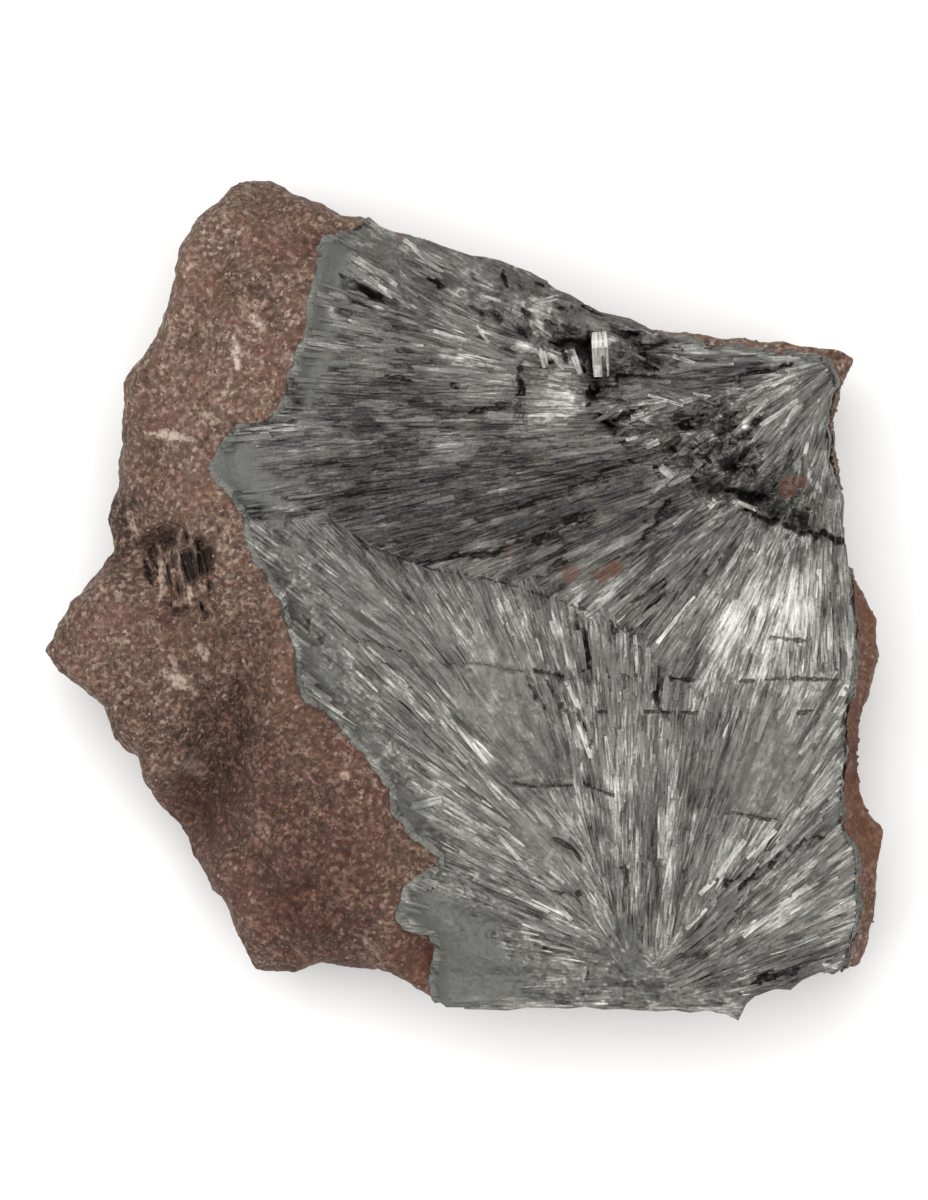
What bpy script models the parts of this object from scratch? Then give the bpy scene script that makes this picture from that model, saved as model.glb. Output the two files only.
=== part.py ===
"""Raw pyrolusite: sprays of steel-grey crystals grown on a broken piece of sandy red-brown rock.

The specimen lies on its broken back. +Z points out of the crystal face, +X runs across the face from
the bare rock to the crystals, and +Y runs up the face. The origin is the middle of the underside.
Plan points and sizes are in millimetres and are turned into metres when a mesh is made.
"""

import math
import random

import bmesh
import bpy
from mathutils import Vector, geometry, kdtree, noise

MM = 0.001

# Driving sizes, in millimetres
BED_HEIGHT = 14.0        # the flat bed in the rock that the crystals grew on
GAP = 0.3                # clearance between the crystals and the rock around them
OVERHANG = 0.8           # how far the rock stays back below the crystals' free edges
CUT_TOP = 32.0           # where the cut for the bed ends, clear above the face
REST_INSET = 7.0         # how far the flat underside stays inside the widest outline
EDGE_STEP = 1.7          # spacing of the points along a broken edge
EDGE_ROUGHNESS = 0.18    # how far those points stray from the drawn outline
ROCK_STEP = 2.3          # spacing of the points over the bare rock
ROCK_LUMP = 0.7          # height of the rock's larger lumps
ROCK_GRIT = 0.35         # height of its small ones
SIDE_LUMP = 11.0         # width of the broad lumps of the rock's broken side
SIDE_CHIP = 4.0          # width of its smaller chips
LEAST_INSET = 0.05       # the least that the rock's side lies inside the drawn outline
BLADE_SPACING = 1.2      # distance between neighbouring blades in the sprays
BLADE_STEP = 2.8         # spacing of the points along one blade
BLADE_RELIEF = 0.6       # how far a blade stands above or below the face
BLADE_FADE = 2.5         # how far in from the rim the blades reach their full relief
BLADE_MARGIN = 0.7       # bare rim between the blades and the edge of the face
CRACK_HALF_WIDTH = 0.16  # half of the slope where the face steps along a crack
STATION_REACH = 2.0      # how softly the face bends from one height station to the next

# The rock's broken side, ring by ring from its widest one down: share of the height, how far the ring
# is drawn in, how far it wanders in and out, and how deep its chips are
ROCK_SIDES = [
    (0.86, 0.15, 0.0, 0.1), (0.68, 0.6, 1.4, 0.4), (0.5, 1.3, 2.4, 0.5), (0.33, 2.4, 2.8, 0.5),
    (0.16, 3.8, 2.8, 0.5), (0.03, 5.2, 2.4, 0.35), (0.0, REST_INSET, 2.6, 0.4),
]
# The crystals' sides, ring by ring: share of the way down to the bed, how far a free edge is drawn
# in, and how deep its chips are
CRYSTAL_SIDES = [(0.1, 0.0, 0.0), (0.4, 0.2, 0.5), (0.7, 0.4, 0.6), (1.0, 0.7, 0.2)]
CENTRE = Vector((0.0, 0.0))
CRYSTAL_CENTRE = Vector((12.0, -6.0))

# The rock's free edge on the left, from the top of the crystals round to their foot
ROCK_LEFT = [
    (-9.2, 38.1), (-11.8, 38.7), (-14.8, 40.0), (-17.2, 40.9), (-18.9, 42.0), (-21.2, 42.2),
    (-23.6, 41.3), (-24.6, 39.9), (-26.9, 38.0), (-28.4, 36.1), (-28.9, 33.7), (-29.4, 31.1),
    (-30.2, 28.1), (-31.2, 25.8), (-32.4, 24.2), (-34.0, 22.1), (-34.2, 20.7), (-34.1, 16.9),
    (-34.5, 11.9), (-35.8, 7.9), (-35.2, 4.9), (-36.6, 3.1), (-38.2, 0.6), (-40.0, -1.7),
    (-41.5, -3.8), (-42.5, -5.3), (-41.2, -6.9), (-38.5, -8.9), (-36.2, -10.9), (-35.0, -14.3),
    (-33.0, -16.1), (-31.4, -20.1), (-29.2, -22.1), (-27.8, -24.1), (-26.6, -26.3), (-25.2, -28.9),
    (-23.4, -31.3), (-22.4, -33.6), (-22.1, -35.4), (-20.9, -37.2), (-17.2, -37.5), (-14.2, -36.7),
    (-9.8, -37.3), (-7.0, -37.4), (-5.2, -38.9), (-2.6, -40.3),
]
# The crystals' free edge along the bottom
CRYSTAL_BOTTOM = [
    (-1.6, -40.7), (3.8, -41.1), (7.2, -40.7), (12.2, -40.9), (17.8, -41.1), (22.8, -41.3),
    (25.9, -41.2), (27.6, -42.2), (28.4, -40.4), (29.8, -39.2), (32.9, -39.2), (34.4, -37.7),
    (37.0, -37.3),
]
# The rock that shows past the crystals on the right and along the top right edge
ROCK_RIGHT = [
    (38.0, -37.2), (39.9, -37.0), (40.5, -35.1), (41.4, -31.6), (41.9, -27.1), (42.5, -23.4),
    (41.0, -21.7), (40.0, -18.6), (39.7, -15.6), (40.1, -12.3), (41.0, -9.6), (42.0, -5.6),
    (41.5, -2.1), (40.0, 0.9), (38.8, 3.7),
]
ROCK_UPPER_RIGHT = [
    (38.0, 10.9), (38.0, 13.4), (37.6, 15.4), (37.4, 17.9), (38.0, 21.4), (39.3, 24.1), (38.0, 25.2),
    (35.2, 25.2), (32.2, 25.9), (29.2, 25.9), (26.2, 26.2), (22.8, 26.7), (19.6, 26.9),
]
# The crystals' free edges on the right, between those two stretches, and along the top
CRYSTAL_NOTCH = [(38.5, 4.9), (38.2, 7.4), (38.1, 9.6)]
CRYSTAL_TOP = [
    (18.2, 27.2), (16.8, 28.0), (13.8, 28.9), (10.8, 30.4), (6.8, 32.6), (3.8, 33.9), (0.8, 34.3),
    (-2.2, 35.5), (-6.8, 36.9),
]
# Where the crystals end against the rock on the left, from the top to the foot
CONTACT = [
    (-9.2, 37.7), (-12.2, 36.1), (-14.1, 35.6), (-13.8, 34.4), (-14.1, 32.4), (-14.9, 29.4),
    (-15.2, 26.4), (-16.2, 23.7), (-17.1, 20.9), (-18.1, 18.4), (-20.1, 17.6), (-22.6, 17.3),
    (-24.2, 15.1), (-24.8, 13.4), (-24.1, 12.1), (-22.6, 10.4), (-21.2, 8.4), (-20.9, 5.4),
    (-19.4, 3.1), (-17.8, -0.1), (-16.9, -3.0), (-16.1, -5.4), (-16.2, -7.4), (-15.7, -9.5),
    (-13.4, -10.9), (-11.9, -12.7), (-8.4, -16.5), (-6.5, -18.9), (-6.5, -20.9), (-4.5, -23.6),
    (-1.8, -25.6), (-2.0, -26.8), (-3.5, -27.7), (-5.5, -29.7), (-6.2, -31.8), (-5.2, -32.8),
    (-2.6, -33.3), (-1.9, -35.3), (-2.9, -38.0), (-2.4, -39.8),
]
# Where they end against the rock on the right, from the foot to the notch and on to the top
CRYSTAL_RIGHT = [
    (38.2, -36.4), (39.2, -33.1), (39.4, -29.1), (39.0, -25.1), (37.9, -23.1), (37.6, -21.1),
    (37.8, -17.1), (38.2, -15.2), (37.9, -12.6), (38.6, -9.6), (39.2, -6.1), (39.1, -2.1),
    (38.3, 2.9),
]
CRYSTAL_UPPER_RIGHT = [
    (37.2, 11.4), (36.6, 14.4), (36.5, 17.4), (36.9, 19.6), (37.3, 21.7), (36.4, 23.5), (32.8, 24.1),
    (28.2, 24.7), (23.8, 25.3), (19.6, 26.0),
]
# Where the upper spray meets the lower one, from the left edge to the right
SPRAY_BOUNDARY = [
    (-25.8, 9.1), (-21.2, 7.9), (-13.2, 7.9), (-9.2, 5.4), (-3.2, 2.9), (1.8, 2.1), (5.8, 1.1),
    (13.8, -1.6), (17.8, -4.6), (20.8, -8.1), (27.8, -8.3), (45.0, -7.9),
]

# Single crystals that set the growth direction: outer end x, y, inner end x, y
UPPER_CRYSTALS = [
    (-7.2, 35.9, 13.8, 25.4), (-1.2, 32.9, 9.8, 24.9), (-13.2, 34.4, 1.8, 25.4),
    (-15.2, 29.9, 9.8, 23.9), (-16.2, 24.9, 17.8, 21.4), (-17.2, 21.4, 23.8, 19.9),
    (-21.2, 16.9, 17.8, 18.4), (-22.2, 12.9, 19.8, 16.9), (-20.8, 9.9, 21.8, 15.9),
    (-12.2, 7.9, 22.8, 14.9), (-3.2, 3.4, 23.8, 12.9), (5.8, 1.4, 25.8, 11.9),
    (13.8, -1.1, 27.8, 10.9), (18.8, -5.1, 29.8, 9.9), (22.8, -7.6, 31.8, 8.9),
    (28.2, -8.1, 33.8, 6.9), (33.8, -8.1, 34.2, 5.9), (38.2, -9.1, 37.5, 5.9),
    (37.2, 23.4, 27.8, 12.9), (37.5, 19.9, 33.8, 7.9), (37.5, 15.9, 37.2, 7.9),
    (36.8, 23.1, 23.8, 15.9), (35.8, 23.7, 18.8, 19.9), (36.8, 24.1, 17.8, 24.9),
]
LOWER_CRYSTALS = [
    (-18.8, 4.9, -6.2, -4.1), (-13.2, 6.4, -2.2, -5.1), (-6.2, 2.9, 0.8, -8.1),
    (1.8, 1.4, 7.8, -12.1), (8.8, -0.6, 12.8, -18.1), (12.8, -4.1, 14.9, -25.1),
    (16.9, -5.1, 16.8, -33.1), (20.2, -9.1, 18.6, -30.1), (24.2, -9.1, 20.9, -28.1),
    (28.8, -9.1, 22.8, -28.1), (33.8, -9.1, 26.8, -25.1), (38.2, -10.1, 29.8, -23.1),
    (38.8, -19.1, 27.8, -30.1), (39.2, -27.1, 23.8, -37.1), (39.2, -33.1, 22.8, -39.1),
    (-15.2, -9.1, 0.8, -20.1), (-11.2, -4.1, 9.8, -25.1), (-6.2, -20.1, 9.8, -29.1),
    (-4.2, -26.1, 11.8, -33.1), (-3.2, -33.1, 13.8, -36.1), (-1.2, -39.1, 15.8, -38.6),
    (10.8, -28.1, 15.8, -36.1), (26.8, -40.6, 17.8, -40.1),
]

# Height of the bare rock at places over it: x, y, z
ROCK_STATIONS = [
    (-20.0, 41.5, 15.0), (-23.2, 36.9, 19.5), (-17.2, 37.0, 20.5), (-12.0, 37.2, 19.5),
    (-26.2, 32.9, 19.0), (-21.2, 29.9, 22.0), (-16.8, 29.9, 22.4), (-28.8, 25.9, 18.5),
    (-23.2, 22.9, 22.4), (-18.6, 20.9, 22.6), (-32.2, 19.9, 18.3), (-27.2, 16.9, 21.8),
    (-25.0, 14.4, 22.3), (-32.6, 12.9, 18.6), (-28.2, 9.9, 21.4), (-22.6, 7.9, 22.0),
    (-34.0, 6.0, 15.5), (-29.2, -2.1, 20.4), (-22.0, 3.0, 21.6), (-41.0, -5.0, 15.0),
    (-36.2, -4.1, 18.2), (-32.2, -5.1, 20.2), (-28.2, -6.5, 20.8), (-34.2, -10.1, 17.2),
    (-30.2, -12.1, 20.2), (-30.4, -16.1, 17.0), (-21.2, -0.5, 20.0), (-22.0, -5.1, 18.0),
    (-22.7, -10.1, 16.6), (-24.7, -16.1, 14.2), (-26.7, -20.1, 12.4), (-27.8, -23.1, 10.0),
    (-17.4, -4.1, 21.6), (-17.7, -10.1, 21.2), (-16.2, -16.1, 21.4), (-11.2, -18.1, 22.0),
    (-20.2, -20.1, 19.2), (-16.2, -25.1, 21.0), (-9.2, -25.1, 22.0), (-22.2, -27.1, 17.6),
    (-20.2, -33.1, 18.0), (-14.2, -33.1, 20.6), (-8.2, -30.1, 21.6), (-4.2, -24.6, 22.2),
    (-6.2, -36.1, 20.0), (-3.2, -39.1, 18.5), (-20.2, -36.6, 15.0), (-11.2, -36.8, 17.8),
    (40.8, -0.1, 15.4), (40.2, -8.1, 16.2), (39.6, -14.0, 15.0), (40.8, -20.1, 16.4),
    (42.0, -25.1, 15.4), (40.6, -32.1, 15.4), (38.0, 13.0, 15.2), (28.8, 25.6, 17.0),
    (37.8, 24.6, 17.2), (20.0, 26.5, 17.6), (10.0, -10.0, 17.0), (20.0, 15.0, 17.0),
]
# Height of the crystal face at places over it: x, y, z
FACE_STATIONS = [
    (-9.0, 37.5, 18.2), (-2.2, 35.3, 17.6), (6.8, 32.4, 17.4), (13.8, 28.7, 17.8), (18.2, 27.0, 18.4),
    (-13.2, 34.9, 22.6), (-7.2, 33.4, 22.4), (-0.2, 29.9, 22.8), (7.8, 27.2, 23.0), (14.8, 25.9, 22.4),
    (-12.2, 29.9, 23.6), (-13.2, 24.9, 23.6), (-16.2, 17.9, 23.4), (-22.2, 15.9, 22.9),
    (-22.7, 11.9, 23.0), (-6.2, 28.0, 24.4), (-1.2, 24.9, 25.0), (-6.2, 19.9, 24.8),
    (-1.2, 14.9, 25.0), (5.8, 25.0, 24.6), (5.8, 19.9, 25.6), (9.8, 19.9, 25.9), (13.8, 22.0, 24.0),
    (17.8, 19.9, 24.8), (-11.2, 11.9, 24.4), (-4.2, 9.9, 24.0), (-1.2, 6.9, 23.7), (8.8, 6.9, 24.1),
    (13.8, 9.9, 24.8), (18.8, 14.9, 25.0), (23.8, 14.9, 24.2), (27.8, 10.9, 22.8), (33.8, 7.9, 22.6),
    (33.8, 14.9, 24.0), (32.8, 19.9, 24.2), (36.4, 22.2, 23.2), (28.0, 23.4, 22.8), (20.8, 23.4, 23.4),
    (-16.2, -0.1, 23.4), (-11.2, -5.1, 24.0), (-6.2, -2.1, 24.6), (-1.2, -10.1, 25.0),
    (-6.4, -14.1, 23.6), (8.8, -5.1, 25.2), (8.8, -15.1, 25.1), (18.8, -5.1, 25.0),
    (18.8, -15.1, 25.8), (28.8, -5.1, 25.4), (33.8, -0.1, 25.0), (36.8, -10.1, 24.4),
    (28.8, -15.1, 25.3), (36.8, -20.1, 24.0), (8.8, -25.1, 24.9), (1.8, -25.1, 24.1),
    (-1.2, -30.1, 23.3), (3.8, -35.1, 23.0), (13.8, -33.1, 24.0), (23.8, -25.1, 24.9),
    (33.8, -28.1, 24.0), (29.8, -35.1, 23.2), (18.8, -38.6, 22.8), (8.8, -39.4, 22.4),
    (-0.4, -39.6, 21.6), (8.0, -40.8, 21.0), (20.8, -41.0, 21.0), (27.4, -41.6, 20.6),
    (36.8, -36.8, 21.6), (38.9, -30.1, 22.8), (38.4, -4.1, 22.6), (37.8, 6.9, 22.4), (36.6, 16.9, 22.8),
]

# Ledges: the face drops by so much on the right hand of the line, and recovers over the reach.
# Points, drop, reach.
LEDGES = [
    ([(17.8, -4.6), (13.8, -1.6), (5.8, 1.1), (1.8, 2.1), (-3.2, 2.9), (-9.2, 5.4), (-13.2, 7.9)],
     1.0, 4.5),
    ([(23.8, -8.1), (17.8, -7.8), (9.8, -8.1), (7.2, -7.3), (-0.2, -6.3), (-6.2, -6.9)], 0.55, 3.5),
    ([(6.2, -11.4), (17.8, -11.1), (25.8, -11.4), (36.8, -10.9)], 0.3, 4.0),
    ([(11.2, -18.6), (4.2, -18.4)], 0.6, 3.5),
    ([(25.8, -21.3), (32.2, -21.9)], 0.4, 3.0),
    ([(9.2, -23.9), (11.2, -25.1), (13.6, -29.3)], 0.4, 2.0),
    ([(8.2, -34.9), (12.8, -35.9), (12.2, -39.1)], 0.4, 2.5),
    ([(30.8, -3.8), (34.2, -4.2)], 0.5, 2.0),
    ([(5.8, 17.4), (5.4, 21.0), (6.0, 24.0)], 0.9, 3.0),
    ([(13.2, 17.6), (8.0, 17.2)], 0.5, 2.0),
    ([(38.2, 6.0), (30.0, 8.0)], 0.9, 3.0),
]
# Hollows (and, with a negative depth, standing blades) along lines: points, half width, depth
FACE_HOLLOWS = [
    ([(13.0, 25.6), (13.6, 20.0)], 0.7, 3.0),
    ([(9.2, 25.2), (12.0, 25.6)], 0.7, 2.4),
    ([(13.6, 18.4), (16.0, 16.4)], 0.7, 2.0),
    ([(21.8, 17.4), (23.8, 17.4)], 0.8, 2.0),
    ([(25.2, 11.2), (30.8, 9.9)], 1.1, 2.6),
    ([(30.6, 9.0), (34.0, 7.8), (37.2, 6.4)], 0.9, 2.6),
    ([(18.0, 24.8), (19.4, 23.4)], 0.6, 1.8),
    ([(-11.8, 31.4), (-6.8, 29.8)], 0.7, 1.5),
    ([(-6.2, 5.9), (1.8, 6.9), (9.8, 9.9)], 1.3, 0.9),
    ([(-6.2, 12.9), (-3.8, 15.9)], 0.6, 0.8),
    ([(25.2, -28.6), (30.8, -26.1), (36.8, -23.1)], 0.8, 0.9),
    ([(28.8, -37.4), (36.4, -35.6)], 0.9, 1.4),
    ([(11.8, -2.4), (12.8, -7.6)], 0.5, 1.1),
    ([(13.9, 26.7), (14.1, 22.1)], 0.6, -1.9),
    ([(-10.2, 33.7), (-4.8, 29.9)], 0.7, -0.8),
    ([(7.8, 24.9), (8.8, 22.4)], 0.6, -0.9),
    ([(17.8, 19.4), (23.8, 19.9)], 0.7, -0.6),
    ([(-2.2, -12.1), (3.8, -20.1)], 0.6, -0.45),
    ([(3.6, -23.6), (10.8, -32.1)], 0.6, -0.45),
    ([(27.8, -33.6), (36.8, -25.1)], 0.7, -0.5),
    ([(22.8, -32.6), (25.8, -27.6)], 0.6, -0.5),
    ([(3.6, 32.1), (8.2, 25.4)], 0.6, -0.7),
]
ROCK_HOLLOWS = [
    ([(-31.2, 5.1), (-29.7, 0.1)], 0.8, 3.4),
    ([(-29.2, 5.1), (-28.2, -0.6)], 0.7, 3.4),
    ([(-27.4, 5.4), (-26.2, -0.1)], 0.8, 3.0),
    ([(-25.8, 5.1), (-25.5, 1.9)], 0.6, 2.4),
    ([(-26.2, -0.9), (-25.6, -1.9)], 0.6, 1.2),
    ([(-34.0, 9.0), (-34.4, 5.6)], 1.4, 1.8),
    ([(-21.4, -0.1), (-22.3, -9.1), (-24.8, -16.1), (-27.0, -22.1)], 3.4, 1.4),
    ([(-10.2, -33.6), (-7.8, -36.4)], 0.6, 0.9),
    ([(-30.6, -1.5), (-32.6, -8.0)], 1.6, -0.7),
    ([(-23.5, 27.5), (-26.0, 18.0)], 1.8, -0.6),
]
# Crumbled patches of the face, where short crystals lie every way: x, y, radius, height
CRUMBLES = [(27.8, 12.4, 6.0, 1.1), (19.0, -37.5, 7.0, 0.5), (14.0, 24.0, 4.5, 0.9), (33.5, 8.0, 4.5, 0.9)]


# ---------------------------------------------------------------- lines in the plan

def nearest_on_line(point, line):
    """Distance from a point to a line of points, the side it lies on, and whether it lies beside it."""
    best = (math.inf, 0.0, False)
    last = len(line) - 2
    for index in range(len(line) - 1):
        start = Vector(line[index])
        along = Vector(line[index + 1]) - start
        share = (point - start).dot(along) / along.length_squared
        foot = start + along * min(max(share, 0.0), 1.0)
        distance = (point - foot).length
        if distance < best[0]:
            side = along.x * (point.y - start.y) - along.y * (point.x - start.x)
            beyond = (index == 0 and share < 0.0) or (index == last and share > 1.0)
            best = (distance, side, not beyond)
    return best


def rough_edge(line, step, roughness, rng):
    """The same open line with a point every step or so, each pushed a little off it."""
    points = []
    for start, end in zip(line, line[1:]):
        start, end = Vector(start), Vector(end)
        pieces = max(1, round((end - start).length / step))
        across = (end - start).orthogonal().normalized()
        for piece in range(pieces):
            push = rng.uniform(-roughness, roughness)
            points.append(start.lerp(end, piece / pieces) + across * push)
    points.append(Vector(line[-1]))
    return points


def is_inside(point, outline):
    """True where a point lies inside a closed outline."""
    inside = False
    previous = outline[-1]
    for corner in outline:
        if (corner.y > point.y) != (previous.y > point.y):
            share = (point.y - corner.y) / (previous.y - corner.y)
            if point.x < corner.x + share * (previous.x - corner.x):
                inside = not inside
        previous = corner
    return inside


def edge_distance(point, outline):
    """Distance from a point to a closed outline."""
    return nearest_on_line(point, outline + outline[:1])[0]


def grown(outline, amount):
    """The closed outline moved outward by an amount, along the normal at each point."""
    result = []
    for index, point in enumerate(outline):
        before = outline[index - 1]
        after = outline[(index + 1) % len(outline)]
        along = (after - before).normalized()
        result.append(point + Vector((along.y, -along.x)) * amount)
    return result


def drawn_in(outline, centre, insets):
    """The closed outline drawn in toward a centre, by its own amount at each point."""
    result = []
    for point, inset in zip(outline, insets):
        reach = point - centre
        result.append(centre + reach * (1.0 - inset / reach.length))
    return result


# ---------------------------------------------------------------- heights

def station_height(point, stations):
    """Height read from the stations round a point, the near ones counting most."""
    total = 0.0
    weights = 0.0
    for x, y, z in stations:
        weight = ((point.x - x) ** 2 + (point.y - y) ** 2 + STATION_REACH ** 2) ** -2
        total += weight * z
        weights += weight
    return total / weights


def hollow_depth(point, hollows):
    """How far the hollows take the surface down at a point."""
    depth = 0.0
    for line, half_width, full_depth in hollows:
        distance = nearest_on_line(point, line)[0]
        if distance < half_width:
            depth += full_depth * (1.0 - distance / half_width)
    return depth


def ledge_drop(point):
    """How far the ledges take the crystal face down at a point."""
    drop = 0.0
    for line, full_drop, reach in LEDGES:
        distance, side, beside = nearest_on_line(point, line)
        if beside and side < 0.0 and distance < 3.0 * reach:
            drop += full_drop * math.exp(-distance / reach)
    return drop


def crumble(point):
    """Height of the loose, broken crystals at a point."""
    height = 0.0
    for x, y, radius, full_height in CRUMBLES:
        distance = (point - Vector((x, y))).length
        if distance < radius:
            share = 1.0 - (distance / radius) ** 2
            height += share * full_height * noise.cell(Vector((point.x, point.y, 3.0)) / 1.3)
    return height


def rock_height(point):
    """Height of the bare rock at a point of the plan."""
    place = Vector((point.x, point.y, 0.0))
    lumps = ROCK_LUMP * noise.noise(place / 6.5) + ROCK_GRIT * noise.noise(place / 2.4)
    return station_height(point, ROCK_STATIONS) + lumps - hollow_depth(point, ROCK_HOLLOWS)


def face_height(point):
    """Height of the crystal face at a point of the plan, before its blades."""
    height = station_height(point, FACE_STATIONS) + crumble(point)
    return height - ledge_drop(point) - hollow_depth(point, FACE_HOLLOWS)


# ---------------------------------------------------------------- blades of the sprays

def growth_direction(point, crystals):
    """The way the crystals grow at a point, turned smoothly between those drawn near it."""
    total = Vector((0.0, 0.0))
    for x1, y1, x2, y2 in crystals:
        along = Vector((x2 - x1, y2 - y1))
        distance = nearest_on_line(point, [(x1, y1), (x2, y2)])[0]
        angle = 2.0 * math.atan2(along.y, along.x)
        total += Vector((math.cos(angle), math.sin(angle))) / (distance ** 2 + 1.0) ** 1.5
    angle = 0.5 * math.atan2(total.y, total.x)
    return Vector((math.cos(angle), math.sin(angle)))


class BladePlan:
    """Lines of blades over the face, kept a spacing apart."""

    def __init__(self, outline, rng):
        self.outline = outline
        self.rng = rng
        self.blades = []
        self.cells = {}

    def is_free(self, point, clearance):
        """True where no laid blade comes closer than the clearance."""
        column, row = int(point.x // BLADE_SPACING), int(point.y // BLADE_SPACING)
        for x in range(column - 1, column + 2):
            for y in range(row - 1, row + 2):
                for other in self.cells.get((x, y), ()):
                    if (other - point).length < clearance:
                        return False
        return True

    def is_on_face(self, point, is_upper):
        """True where a point lies in the spray and clear of the rim and the ledges."""
        if is_upper != (nearest_on_line(point, SPRAY_BOUNDARY)[1] > 0.0):
            return False
        return is_inside(point, self.outline) and edge_distance(point, self.outline) > BLADE_MARGIN

    def trace(self, seed, crystals, is_upper, turn, length):
        """Points from the seed along the growth direction until the blade has to end."""
        points = []
        place = seed
        heading = growth_direction(seed, crystals) * turn
        travelled = 0.0
        while travelled < length:
            ahead = growth_direction(place, crystals)
            if ahead.dot(heading) < 0.0:
                ahead.negate()
            heading = ahead
            place = place + heading * BLADE_STEP
            if not self.is_on_face(place, is_upper) or not self.is_free(place, 0.6 * BLADE_SPACING):
                break
            points.append(place)
            travelled += BLADE_STEP
        return points

    def lay(self, crystals, is_upper, tries):
        """Fill one spray with blades from random seeds."""
        for _ in range(tries):
            seed = Vector((self.rng.uniform(-25.0, 40.0), self.rng.uniform(-42.0, 38.0)))
            length = self.rng.uniform(4.0, 22.0)
            if not self.is_free(seed, BLADE_SPACING) or not self.is_on_face(seed, is_upper):
                continue
            back = self.trace(seed, crystals, is_upper, -1.0, length)
            ahead = self.trace(seed, crystals, is_upper, 1.0, length)
            blade = back[::-1] + [seed] + ahead
            if len(blade) < 3:
                continue
            self.blades.append(blade)
            for start, end in zip(blade, blade[1:]):
                for share in (0.0, 0.5):
                    point = start.lerp(end, share)
                    cell = (int(point.x // BLADE_SPACING), int(point.y // BLADE_SPACING))
                    self.cells.setdefault(cell, []).append(point)


def blade_lifts(blades, outline, rng):
    """A search tree over the blades' points and how far each stands off the face."""
    places = [point for blade in blades for point in blade]
    tree = kdtree.KDTree(len(places))
    lifts = []
    for blade in blades:
        lift = rng.choice((-1.0, 1.0)) * rng.uniform(0.35, 1.0) * BLADE_RELIEF
        for index, point in enumerate(blade):
            is_end = index in (0, len(blade) - 1)
            rim = min(edge_distance(point, outline) / BLADE_FADE, 1.0)
            lifts.append(lift * rim * (0.3 if is_end else 1.0))
            tree.insert((point.x, point.y, 0.0), len(lifts) - 1)
    tree.balance()
    return tree, lifts


# ---------------------------------------------------------------- solids

def sheet(outline, lines, points):
    """Triangles over a closed outline, with the lines kept as edges. The outline comes first."""
    places = list(outline)
    edges = []
    for line in lines:
        first = len(places)
        places.extend(line)
        edges.extend((index, index + 1) for index in range(first, len(places) - 1))
    places.extend(points)
    loop = [list(range(len(outline)))]
    found, _, faces, origins, _, _ = geometry.delaunay_2d_cdt(places, edges, loop, 1, 1e-4)
    edge_of = {}
    for index, sources in enumerate(origins):
        for source in sources:
            edge_of[source] = index
    return found, faces, [edge_of[index] for index in range(len(outline))]


def closed_solid(name, top, faces, rim, rings):
    """A closed body: a top sheet, rings of points down its sides, and a flat underside."""
    shape = bmesh.new()
    top_points = [shape.verts.new(place) for place in top]
    for face in faces:
        shape.faces.new([top_points[index] for index in face])
    upper = [top_points[index] for index in rim]
    for ring in rings:
        lower = [shape.verts.new(place) for place in ring]
        for index in range(len(upper)):
            after = (index + 1) % len(upper)
            shape.faces.new((upper[after], upper[index], lower[index], lower[after]))
        upper = lower
    shape.faces.new(upper[::-1])
    bmesh.ops.delete(shape, geom=[v for v in shape.verts if not v.link_faces], context="VERTS")
    bmesh.ops.triangulate(shape, faces=shape.faces)
    bmesh.ops.recalc_face_normals(shape, faces=shape.faces)
    bmesh.ops.scale(shape, vec=(MM, MM, MM), verts=shape.verts)
    mesh = bpy.data.meshes.new(name)
    shape.to_mesh(mesh)
    shape.free()
    body = bpy.data.objects.new(name, mesh)
    bpy.context.scene.collection.objects.link(body)
    return body


def stroke_lines(strokes, outline):
    """The middle and both sides of each stroke, as lines for the sheet, clear of the outline."""
    lines = []
    for line, half_width, *_ in strokes:
        for offset in (-half_width, 0.0, half_width):
            shifted = []
            for index, place in enumerate(line):
                before = Vector(line[max(index - 1, 0)])
                after = Vector(line[min(index + 1, len(line) - 1)])
                across = (after - before).orthogonal().normalized()
                point = Vector(place) + across * offset
                if is_inside(point, outline) and edge_distance(point, outline) > 0.5:
                    shifted.append(point)
            if len(shifted) > 1:
                lines.append(shifted)
    return lines


def scattered(outline, step, keep, rng):
    """Points about a step apart inside an outline, wherever keep allows them."""
    points = []
    rows = int(90.0 / step)
    for row in range(rows):
        for column in range(rows):
            x = -45.0 + (column + 0.5 * (row % 2)) * step + rng.uniform(-0.25, 0.25) * step
            y = -45.0 + row * step + rng.uniform(-0.25, 0.25) * step
            point = Vector((x, y))
            if is_inside(point, outline) and keep(point):
                points.append(point)
    return points


def crystal_outline(rng):
    """The closed outline of the crystals, anticlockwise from the top of their left edge."""
    line = CONTACT + CRYSTAL_BOTTOM + CRYSTAL_RIGHT + CRYSTAL_NOTCH + CRYSTAL_UPPER_RIGHT + CRYSTAL_TOP
    return rough_edge(line + CONTACT[:1], EDGE_STEP, EDGE_ROUGHNESS, rng)[:-1]


def rock_outline(rng):
    """The closed outline of the rock, which stays back below the crystals' free edges."""
    line = ROCK_LEFT + drawn_back(CRYSTAL_BOTTOM) + ROCK_RIGHT
    line += drawn_back(CRYSTAL_NOTCH) + ROCK_UPPER_RIGHT + drawn_back(CRYSTAL_TOP)
    return rough_edge(line + ROCK_LEFT[:1], EDGE_STEP, EDGE_ROUGHNESS, rng)[:-1]


def drawn_back(line):
    """A free edge of the crystals drawn in by the overhang."""
    return [tuple(point) for point in drawn_in([Vector(p) for p in line], CENTRE, [OVERHANG] * len(line))]


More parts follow.
